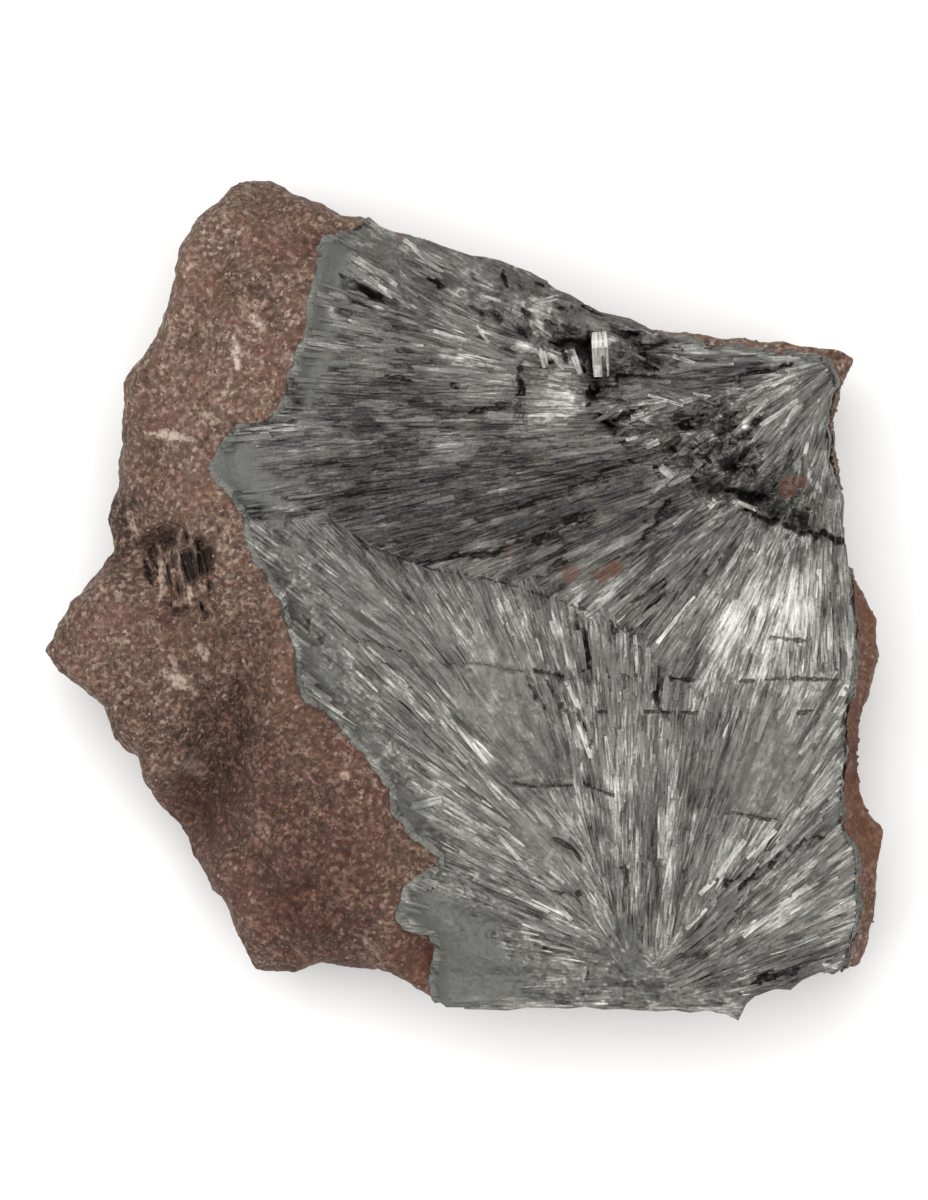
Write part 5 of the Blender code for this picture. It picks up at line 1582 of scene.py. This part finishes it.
@dataclass
class BladeBundle:
    """The single blades and needles of one spray, standing a little out of its ground."""

    face: FaceMap
    spray: Spray
    sizes: tuple[BladeSize, ...] = (NEEDLES, BLADES)
    marked_tone: tuple[float, float, float] = (0.72, 0.08, 0.6)  # own share, base, share of the face
    stray: float = 0.03
    crumble_stray: float = 0.7          # how far blades turn away in the rubble, in radians
    shortest: float = 0.9               # blades cut shorter than this are left out
    seed: int = 1

    def lines(self, size: BladeSize, rng: Generator) -> tuple[list[Points], Points]:
        """The centre lines of all blades of one size, and their widths.

        Args:
            size: the blades' size.
            rng: the random numbers.

        Returns:
            The lines' points in plan, and each line's width.
        """
        face = self.face
        is_home = face.is_upper if self.spray is Spray.UPPER else ~face.is_upper
        allowed = is_home & face.is_whole & (face.cavity < 0.8) & (face.stain < 0.6) & (face.calm < 0.7)
        chance = (1.0 - 0.8 * face.calm) * (1.0 - face.skin) * (1.0 - face.felt)
        allowed &= rng.random(chance.shape) < chance
        x, y = face.starts(size.count, allowed, rng)
        crumble = face.read(face.crumble, x, y)
        length = rng.uniform(*size.length, size.count) * (1.0 - 0.7 * crumble)
        stray = rng.normal(0.0, 1.0, size.count) * (self.stray + self.crumble_stray * crumble)
        width = rng.uniform(*size.width, size.count)
        lines = face.lines(x, y, length, stray, rng)
        kept = [index for index, line in enumerate(lines) if len(line) * face.cell > self.shortest]
        return [lines[index] for index in kept], width[kept]

    def marked_lines(self) -> tuple[list[Points], Points, Points]:
        """The centre lines, widths and tones of this spray's marked crystals.

        Returns:
            The lines' points in plan, each line's width and each line's tone.
        """
        lines, widths, tones = [], [], []
        for x1, y1, x2, y2, width, tone in MARKED_CRYSTALS:
            row, column = self.face.cell_of(np.array((x1 + x2) / 2.0), np.array((y1 + y2) / 2.0))
            if self.face.is_upper[row, column] == (self.spray is Spray.UPPER):
                count = int(math.hypot(x2 - x1, y2 - y1) / self.face.cell) + 2
                lines.append(np.column_stack((np.linspace(x1, x2, count), np.linspace(y1, y2, count))))
                widths.append(width)
                tones.append(tone)
        return lines, np.array(widths), np.array(tones)

    def shades(self, count: int, glint: float, rng: Generator) -> Points:
        """How much lighter than the face under it each blade is: a few are dark and a few glint.

        Args:
            count: how many blades there are.
            glint: how much lighter the brightest are.
            rng: the random numbers.

        Returns:
            The differences in tone.
        """
        kind = rng.random(count)
        own = rng.normal(0.02, 0.05, count)
        own = np.where(kind < 0.08, rng.uniform(-0.22, -0.10, count), own)
        return np.where(kind > 0.94, rng.uniform(0.4, 1.0, count) * glint, own)

    def raised(self, line: Points, picks: list[int], size: BladeSize, width: float,
               rng: Generator) -> Points:
        """Set a blade's line to its height: nearly straight, and half in the ground.

        Args:
            line: its points in plan, one in every cell.
            picks: which of them to keep.
            size: the blade's size.
            width: its width.
            rng: the random numbers.

        Returns:
            The kept points, in space.
        """
        plan = line[picks]
        ground = self.face.read(self.face.ground, plan[:, 0], plan[:, 1])
        along = np.array(picks) * self.face.cell
        straight = np.polyval(np.polyfit(along, ground, 1), along)
        thickness = width * size.flatness
        crumble = self.face.read(self.face.crumble, *plan[len(plan) // 2])
        slope = rng.normal(0.0, 1.0) * (0.01 + 0.2 * crumble)
        lift = thickness * rng.uniform(*size.proud) + slope * (along - along.mean())
        return np.column_stack((plan, 0.5 * straight + 0.5 * ground + lift))

    def build(self, material: Material) -> None:
        """Make a piece for each size of blade, and one for the marked crystals.

        Args:
            material: the crystal finish.
        """
        rng = np.random.default_rng(self.seed)
        for size in self.sizes:
            lines, widths = self.lines(size, rng)
            under = [MIDDLE_TONE + self.face.read(self.face.tone, *line.T) for line in lines]
            tones = [tone + shade for tone, shade in zip(under, self.shades(len(lines), size.glint, rng))]
            self.grow(size, lines, widths, tones, material, rng)
        lines, widths, own = self.marked_lines()
        own_share, base, face_share = self.marked_tone
        tones = [own_share * tone + base + face_share * self.face.read(self.face.tone, *line.T)
                 for line, tone in zip(lines, own)]
        self.grow(MARKED, lines, widths, tones, material, rng)

    def grow(self, size: BladeSize, lines: list[Points], widths: Points, tones: list[Points],
             material: Material, rng: Generator) -> None:
        """Make the prisms of one size.

        Args:
            size: the blades' size.
            lines: their centre lines in plan.
            widths: their widths.
            tones: their tones, point by point.
            material: the crystal finish.
            rng: the random numbers.
        """
        stride = max(int(size.step / self.face.cell), 1)
        picks = [list(range(0, max(len(line) - stride // 2, 1), stride)) + [len(line) - 1] for line in lines]
        tone = np.concatenate([own[pick] for own, pick in zip(tones, picks)])
        lines = [self.raised(line, pick, size, width, rng)
                 for line, pick, width in zip(lines, picks, widths)]
        places = np.concatenate(lines)
        counts = np.array([len(line) for line in lines])
        first = np.concatenate(([0], np.cumsum(counts)[:-1]))
        edges = [(start + step, start + step + 1) for start, count in zip(first, counts)
                 for step in range(count - 1)]
        mesh = bpy.data.meshes.new("guide")
        mesh.from_pydata((places * MM).tolist(), edges, [])
        taper = np.ones(len(places))
        for end in (first, first + counts - 1):
            taper[end] = rng.uniform(size.blunt, 1.0, len(lines))
        set_attribute(mesh, "girth", np.repeat(widths, counts) * 0.5 * MM * taper)
        set_attribute(mesh, "roll", np.repeat(rng.normal(0.0, size.roll, len(lines)), counts))
        along = np.concatenate([np.gradient(line[:, :2], axis=0) for line in lines])
        self.face.dress(mesh, tone, places, along / np.linalg.norm(along, axis=1)[:, None])
        guide = placed(f"{size.name}_{self.spray.value}", mesh)
        piece = plain_result(guide, self.tree(), {"Flatness": size.flatness, "Finish": material})
        set_vertex_places(piece.data, vertex_places(piece.data))
        settle(piece, material, "pyrolusite_sprays")

    @staticmethod
    def tree() -> NodeTree:
        """Make the Geometry Nodes that turn guide edges into closed flat prisms.

        Returns:
            The node tree.
        """
        tree, given = new_tree("crystal_prisms", {"Flatness": "Float"})
        node = partial(add_node, tree)
        girth, roll = (
            node("GeometryNodeInputNamedAttribute", {"data_type": "FLOAT", "Name": name}).outputs[0]
            for name in ("girth", "roll"))
        curve = node("GeometryNodeMeshToCurve", {}, {"Mesh": given["Geometry"]})
        upright = node("GeometryNodeSetCurveNormal", {"mode": "Z_UP"}, {"Curve": curve.outputs[0]})
        turned = node("GeometryNodeSetCurveTilt", {}, {"Curve": upright.outputs[0], "Tilt": roll})
        thickness = node("ShaderNodeMath", {"operation": "MULTIPLY", 1: 2.0}, {0: given["Flatness"]})
        profile = node("GeometryNodeCurvePrimitiveQuadrilateral",
                       {"mode": "RECTANGLE", "Width": 2.0}, {"Height": thickness.outputs[0]})
        solid = node("GeometryNodeCurveToMesh", {"Fill Caps": True},
                     {"Curve": turned.outputs[0], "Profile Curve": profile.outputs[0], "Scale": girth})
        flat = node("GeometryNodeSetShadeSmooth", {"Shade Smooth": False}, {"Geometry": solid.outputs[0]})
        close_tree(tree, flat.outputs[0], given["Finish"])
        return tree


# ---------------------------------------------------------------- the rock

@dataclass
class HostRock:
    """The sandy rock: the solid's lumps and breaks with a grained skin."""

    meeting: MeetingLine
    top_edge: float = 0.37
    pit_edge: float = 0.22
    side_edge: float = 0.85
    hidden_edge: float = 4.0
    top_foot: float = 13.0
    rounding: int = 3
    lump: float = 0.26
    knob: float = 0.18
    grain: float = 0.20
    grain_mm: float = 0.9
    lump_mm: float = 3.1
    knob_mm: float = 1.3
    wander: float = 0.15                # how far the edges of the pits wander
    half_side: float = 45.0
    hollow_cell: float = 0.6            # cell size of the level map that finds hollows
    refill: float = 0.9                 # how much of a coarse pit is filled before the fine ones are cut
    pitted_middle: tuple[float, float] = (-28.6, 2.6)
    pitted_half_size: tuple[float, float] = (4.4, 5.6)
    pit_shade: float = 0.34
    bed_edge: float = -24.0             # the bed lies to the right of this
    grain_foot: float = 8.0             # loose grains sit above this height
    coarse_pits: tuple[Stroke, ...] = strokes(
        (0.8, 3.4, -31.2, 5.1, -29.7, 0.1), (0.7, 3.4, -29.2, 5.1, -28.2, -0.6),
        (0.8, 3.0, -27.4, 5.4, -26.2, -0.1), (0.6, 2.4, -25.8, 5.1, -25.5, 1.9),
    )
    pits: tuple[Stroke, ...] = strokes(
        (0.5, 0.3, -31.2, 6.8, -29.0, 6.7), (0.9, 0.6, -30.2, 6.2, -29.5, 5.4, -29.2, 4.2),
        (0.7, 1.6, -31.8, 3.8, -31.1, 1.6), (0.5, 1.6, -29.5, 3.3, -29.2, 0.3),
        (0.34, 1.2, -28.5, 2.2, -28.2, 0.0), (1.0, 2.2, -27.4, 4.0, -27.1, 2.5),
        (0.8, 2.0, -26.2, 5.4, -25.7, 4.9, -25.7, 3.2), (0.38, 1.1, -26.8, 0.0, -25.6, -1.4),
        (0.4, 0.7, -19.6, -2.6, -19.2, -3.4), (0.4, 0.6, -12.2, -24.6, -11.6, -25.4),
        (0.35, 0.5, -23.6, 31.3, -23.2, 30.6), (0.45, 0.6, -21.2, 31.0, -20.2, 30.6),
        (0.4, 0.6, -19.2, 27.9, -18.8, 27.6), (0.4, 0.5, -16.2, 31.2, -15.8, 30.9),
    )
    # Patches and strokes that dim the rock: partly its darker parts, partly painted shade in the valley and
    # the pits
    dim_and_shade_patches: tuple[Patch | Stroke, ...] = patches(
        (-34.8, 8.0, 2.6, 1.3), (-34.6, 4.4, 1.6, 0.6), (-29.0, 2.0, 3.6, 0.3), (-24.0, -13.0, 2.8, 0.22),
        (-25.6, -20.0, 3.2, 0.3), (-15.0, -33.0, 7.0, 0.2), (-4.0, -35.5, 2.5, 0.3),
        (-21.5, -3.0, 2.0, 0.3), (-32.5, -12.0, 4.0, 0.28), (-16.0, -22.0, 12.0, 0.2),
        (-27.0, -14.0, 7.0, 0.16), (-30.0, 5.8, 1.5, 0.4), (-31.4, 2.7, 1.0, 0.5), (-27.2, 3.2, 0.9, 0.7),
        (-26.0, 4.2, 0.9, 0.7), (-35.0, -2.0, 8.0, 0.19), (-23.4, 31.6, 1.4, 0.3), (-20.4, 31.0, 1.4, 0.3),
        (-14.0, 36.5, 2.4, 0.3), (-31.8, 12.6, 1.6, 0.2),
    ) + strokes(
        (0.8, 0.4, -22.3, -6.2, -22.4, -10.6, -22.2, -14.8),
        (0.9, 0.25, -23.4, -13.6, -24.8, -18.0, -25.8, -21.8),
    )
    red_patches: tuple[Patch, ...] = patches(
        (-26.5, -21.5, 4.0, 0.55), (-4.2, -36.0, 3.0, 0.5), (-22.0, -15.0, 5.0, 0.3),
        (40.5, -12.0, 5.0, 0.4), (38.8, -17.0, 3.0, 0.5), (-15.0, -24.0, 13.0, 0.52),
        (-15.0, -33.0, 7.0, 0.4), (-23.0, -9.0, 5.0, 0.2), (40.0, 0.0, 5.0, 0.3), (40.0, -25.0, 5.0, 0.3),
        (38.0, 27.0, 5.0, 0.25), (-29.5, -2.0, 2.0, 0.3), (-19.0, 33.0, 4.0, 0.15), (-31.0, 12.5, 4.0, 0.2),
        (-16.0, 38.5, 5.0, 0.2), (-27.0, -3.0, 5.0, 0.15),
    )
    rust_patches: tuple[Patch | Stroke, ...] = patches(
        (41.0, -1.5, 4.0, 0.65), (39.0, -9.0, 3.0, 0.45), (40.5, -17.0, 4.0, 0.6), (40.0, -25.0, 4.5, 0.6),
        (-4.5, -36.0, 2.5, 0.45), (-18.0, -8.0, 3.0, 0.2),
    ) + strokes(
        (1.2, 0.6, 11.0, 29.8, 24.0, 27.6, 38.0, 26.4),
    )
    smears: tuple[Stroke, ...] = strokes(
        (0.45, 0.8, -31.2, 16.6, -27.0, 16.0), (0.5, 0.5, -22.9, 26.2, -22.5, 22.9),
        (0.5, 0.6, -20.8, 28.0, -20.0, 27.4), (0.6, 0.95, -33.6, 8.9, -32.6, 6.6),
        (0.55, 1.0, -30.1, -7.2, -26.4, -9.6), (0.4, 0.4, -29.0, -6.0, -28.4, -7.4),
        (0.45, 0.9, -26.2, -4.9, -25.7, -5.7), (0.35, 0.8, -26.0, -7.6, -24.6, -8.4),
        (0.8, 0.4, -27.4, -16.6, -26.2, -17.4), (0.4, 1.2, -11.8, -17.6, -11.7, -17.8),
        (0.35, 0.4, -10.2, -33.6, -7.8, -36.6),
        (0.26, 0.75, -30.9, 4.3, -30.2, 3.4, -30.0, 0.9, -30.5, -0.4),
        (0.22, 0.65, -28.5, 4.4, -28.3, 3.0, -27.6, 1.7, -27.3, 0.6, -27.2, -0.5),
        (0.4, 0.4, -31.4, -2.4, -30.6, -2.8), (0.35, 0.8, -26.0, 5.8, -25.0, 5.3),
        (0.35, 0.4, -17.6, 25.2, -16.6, 22.6), (0.4, 0.3, -23.8, -6.9, -22.0, -8.0),
    )

    def stretch(self, middle: Points, span: Points) -> Points:
        """How many times its allowed length each edge is.

        Args:
            middle: the edges' middles.
            span: from one end of each edge to the other.

        Returns:
            The lengths, as multiples of what is allowed.
        """
        length = np.linalg.norm(span, axis=1)
        is_flat = np.abs(span[:, 2]) < 0.75 * length
        limit = np.where((middle[:, 2] > self.top_foot) & is_flat, self.top_edge, self.side_edge)
        off_x, off_y = ((middle[:, :2] - self.pitted_middle) / self.pitted_half_size).T
        in_pits = (np.hypot(off_x, off_y) < 1.0) & (middle[:, 2] > FACE_FOOT)
        limit = np.where(in_pits, self.pit_edge, limit)
        return length / np.where(self.is_hidden(middle), self.hidden_edge, limit)

    def is_hidden(self, places: Points) -> np.ndarray:
        """Which places lie on the flat underside or on the bed under the crystals."""
        on_bed = (np.abs(places[:, 2] - BED_HEIGHT) < 0.1) & (places[:, 0] > self.bed_edge)
        return (places[:, 2] < 0.3) | on_bed

    def build(self, material: Material) -> Object:
        """Make the piece.

        Args:
            material: the rock finish.

        Returns:
            The finished object.
        """
        shape = merged_copy("host_rock")
        refine(shape, self.stretch, 7)
        for _ in range(self.rounding):
            hidden = self.is_hidden(np.array([vert.co[:] for vert in shape.verts]))
            moving = [vert for vert, is_fixed in zip(shape.verts, hidden) if not is_fixed]
            bmesh.ops.smooth_vert(shape, verts=moving, factor=0.5, use_axis_x=True, use_axis_y=True,
                                  use_axis_z=True)
        piece = mesh_object("sandstone_matrix", shape)
        mesh = piece.data
        places, normals = vertex_places(mesh), vertex_normals(mesh)
        pull, level = self.meeting.pull(places)
        is_top = smooth_share(normals[:, 2], 0.1, 0.4) * (places[:, 2] > FACE_FOOT)
        places[:, 2] += is_top * pull * (level - places[:, 2])
        x, y = (places[:, axis] + self.wander * lumps(places, size) for axis, size in enumerate((1.1, 1.3)))
        for pit in self.coarse_pits:
            distance = line_distance(pit.points, places[:, 0], places[:, 1])
            depth = np.maximum(pit.amount * (1.0 - distance / pit.half_width), 0.0)
            places[:, 2] += self.refill * depth * (places[:, 2] > FACE_FOOT)
        places[:, 2] -= is_top * patch_sum(self.pits, x, y)
        cell = np.array([noise.voronoi(Vector(place))[0][0] for place in places / self.grain_mm])
        rise = self.lump * lumps(places, self.lump_mm) + self.knob * lumps(places, self.knob_mm)
        rise += self.grain * (0.4 - cell)
        rise *= smooth_share(places[:, 2], 0.05, 1.0)
        moved = places + normals * rise[:, None]
        moved[:, 2] = np.maximum(moved[:, 2], 0.0)
        set_vertex_places(mesh, moved)
        for polygon in mesh.polygons:
            polygon.use_smooth = True
        self.colour(mesh, places, normals)
        settle(piece, material, "host_rock")
        return piece

    def colour(self, mesh: Mesh, places: Points, normals: Points) -> None:
        """Store the patches that the rock finish reads, and where loose grains may sit.

        Args:
            mesh: the mesh to store them on.
            places: its vertices in millimetres.
            normals: its vertices' normals.
        """
        x, y = places[:, 0], places[:, 1]
        ragged = lumps(places, 2.0) + 0.8 * lumps(places, 0.9)
        hollow = self.hollowness(mesh) * (1.0 + 0.3 * ragged) * smooth_share(places[:, 2], 15.5, 18.5)
        for name, marks, frayed in (("dim", self.dim_and_shade_patches, 0.4), ("red", self.red_patches, 0.4),
                                    ("pale", self.smears, 0.8), ("rust", self.rust_patches, 0.4)):
            total = patch_sum(marks, x, y) * (1.0 + frayed * ragged)
            # painted shade: hollows dim the rock a little more
            total += 0.25 * smooth_share(hollow, 0.15, 1.0) * (name == "dim")
            set_attribute(mesh, name, np.clip(total, 0.0, 1.0))
        shade = 0.8 * smooth_share(hollow, 0.7, 1.8) + self.pit_shade * patch_sum(self.pits, x, y)
        set_attribute(mesh, "shade", np.clip(shade, 0.0, 0.92))
        is_open = (normals[:, 2] > 0.35) & (places[:, 2] > self.grain_foot) & ~self.is_hidden(places)
        set_attribute(mesh, "bare", is_open.astype(float))

    def hollowness(self, mesh: Mesh) -> Points:
        """How far each vertex lies under the surface round it, in millimetres."""
        places = vertex_places(mesh)
        cells = tuple(((places[:, axis] + self.half_side) / self.hollow_cell).astype(int) for axis in (1, 0))
        side = int(2.0 * self.half_side / self.hollow_cell)
        is_top = places[:, 2] > 14.5
        total, count = np.zeros((side, side)), np.zeros((side, side))
        top_cells = tuple(indices[is_top] for indices in cells)
        np.add.at(total, top_cells, places[is_top, 2])
        np.add.at(count, top_cells, 1.0)
        level = blurred(total, 2.2) / np.maximum(blurred(count, 2.2), 0.01)
        return np.where(is_top, np.clip(level[cells] - places[:, 2], 0.0, 3.0), 0.0)


@dataclass
class SandGrains:
    """Quartz grains that stand out of the rock's skin."""

    density: float = 1.8
    smallest: float = 0.09
    largest: float = 0.22
    seed: int = 8

    def tree(self) -> NodeTree:
        """Make the Geometry Nodes that scatter the grains.

        Returns:
            The node tree.
        """
        tree, given = new_tree("sand_grains", {"Density": "Float", "Smallest": "Float", "Largest": "Float",
                                               "Seed": "Int"})
        node = partial(add_node, tree)
        bare = node("GeometryNodeInputNamedAttribute", {"data_type": "FLOAT", "Name": "bare"})
        is_bare = node("FunctionNodeCompare", {"operation": "GREATER_THAN", "B": 0.5},
                       {"A": bare.outputs[0]})
        points = node("GeometryNodeDistributePointsOnFaces", {},
                      {"Mesh": given["Geometry"], "Selection": is_bare.outputs[0],
                       "Density": given["Density"], "Seed": given["Seed"]})
        grain = node("GeometryNodeMeshIcoSphere", {"Radius": 1.0, "Subdivisions": 1})
        size = node("FunctionNodeRandomValue", {"data_type": "FLOAT"},
                    {"Min": given["Smallest"], "Max": given["Largest"], "Seed": given["Seed"]})
        turn = node("FunctionNodeRandomValue",
                    {"data_type": "FLOAT_VECTOR", 0: (0.0, 0.0, 0.0), 1: (math.tau,) * 3})
        squash = node("FunctionNodeRandomValue",
                      {"data_type": "FLOAT_VECTOR", 0: (0.6, 0.6, 0.6), 1: (1.3, 1.3, 1.3), "Seed": 5})
        shape = node("ShaderNodeVectorMath", {"operation": "SCALE"},
                     {0: squash.outputs[0], "Scale": size.outputs[1]})
        grains = node("GeometryNodeInstanceOnPoints", {},
                      {"Points": points.outputs[0], "Instance": grain.outputs[0],
                       "Rotation": turn.outputs[0], "Scale": shape.outputs[0]})
        pick = node("FunctionNodeRandomValue", {"data_type": "FLOAT", "Seed": 3})
        told = node("GeometryNodeStoreNamedAttribute",
                    {"data_type": "FLOAT", "domain": "INSTANCE", "Name": "grain"},
                    {"Geometry": grains.outputs[0], "Value": pick.outputs[1]})
        close_tree(tree, told.outputs[0], given["Finish"])
        return tree

    def build(self, rock: Object, material: Material) -> None:
        """Scatter the grains over the rock.

        Args:
            rock: the finished rock piece.
            material: the grain finish.
        """
        guide = placed("sand_grains", rock.data.copy())
        values = {"Density": self.density / MM ** 2, "Smallest": self.smallest * MM,
                  "Largest": self.largest * MM, "Seed": self.seed, "Finish": material}
        piece = plain_result(guide, self.tree(), values)
        set_vertex_places(piece.data, vertex_places(piece.data))
        settle(piece, material, "host_rock")


# ---------------------------------------------------------------- studio

@dataclass(frozen=True)
class Softbox:
    """A square softbox that points at the specimen: its place and side in metres, its power in watts."""

    name: str
    place: tuple[float, float, float]
    side: float
    power: float

    def build(self) -> None:
        """Hang the softbox."""
        lamp = bpy.data.lights.new(self.name, "AREA")
        lamp.size = self.side
        lamp.energy = self.power
        box = placed(self.name, lamp)
        box.location = self.place
        box.rotation_euler = (-Vector(self.place)).to_track_quat("-Z", "Y").to_euler()


@dataclass
class Studio:
    """Floor, light and camera: looking straight down at the specimen on white paper."""

    frame_width: float = 92.8
    distance: float = 2000.0
    frame_level: float = 22.0           # height at which the frame is measured
    aim: tuple[float, float] = (0.15, -0.1)
    floor_size: float = 1.6
    lights: tuple[Softbox, ...] = (
        Softbox("key_softbox", (-0.10, 0.26, 0.95), 0.80, 8.4),
        Softbox("fill_softbox", (0.50, -0.35, 0.75), 0.90, 3.6),
        Softbox("side_softbox", (-0.55, -0.15, 0.60), 0.60, 1.6),
    )
    room: str = "#e8e8e8"
    room_strength: float = 0.55

    def build(self) -> None:
        """Make the floor, the lights and the camera."""
        self.floor()
        for light in self.lights:
            light.build()
        world = bpy.data.worlds.new("studio")
        world.use_nodes = True
        background = world.node_tree.nodes["Background"]
        background.inputs["Color"].default_value = linear_colour(self.room)
        background.inputs["Strength"].default_value = self.room_strength
        scene = bpy.context.scene
        scene.world = world
        scene.view_settings.view_transform = "Standard"
        self.camera()
        log.info("studio: floor, lights and camera")

    def floor(self) -> None:
        """Lay the paper under the specimen."""
        half = self.floor_size / 2.0
        mesh = bpy.data.meshes.new("paper")
        mesh.from_pydata([(-half, -half, 0.0), (half, -half, 0.0), (half, half, 0.0), (-half, half, 0.0)],
                         [], [(0, 1, 2, 3)])
        mesh.materials.append(MattPaper().build())
        placed("paper", mesh)

    def camera(self) -> None:
        """Look straight down, with the frame's width measured at the crystal face."""
        lens = bpy.data.cameras.new("camera")
        lens.sensor_fit = "HORIZONTAL"
        lens.sensor_width = 36.0
        lens.lens = lens.sensor_width * self.distance / self.frame_width
        lens.clip_end = 100.0
        camera = placed("camera", lens)
        camera.location = (self.aim[0] * MM, self.aim[1] * MM, (self.frame_level + self.distance) * MM)
        bpy.context.scene.camera = camera


def node_tree_of(node: str) -> BVHTree:
    """A search tree over a CAD node's surface, in millimetres."""
    shape = merged_copy(node)
    tree = BVHTree.FromBMesh(shape)
    shape.free()
    return tree


def main() -> None:
    """Build the pieces in order and set the studio up round them."""
    logging.basicConfig(level=logging.INFO, format="%(name)s %(message)s")
    crystal = SteelGreyCrystal().build()
    meeting = MeetingLine()
    face = FaceMap()
    SprayGround(face, meeting, node_tree_of("host_rock")).build(crystal)
    BladeBundle(face, Spray.UPPER, seed=21).build(crystal)
    BladeBundle(face, Spray.LOWER, seed=22).build(crystal)
    rock = HostRock(meeting).build(SandyRock().build())
    SandGrains().build(rock, QuartzGrain().build())
    Studio().build()


if __name__ == "__main__":
    main()
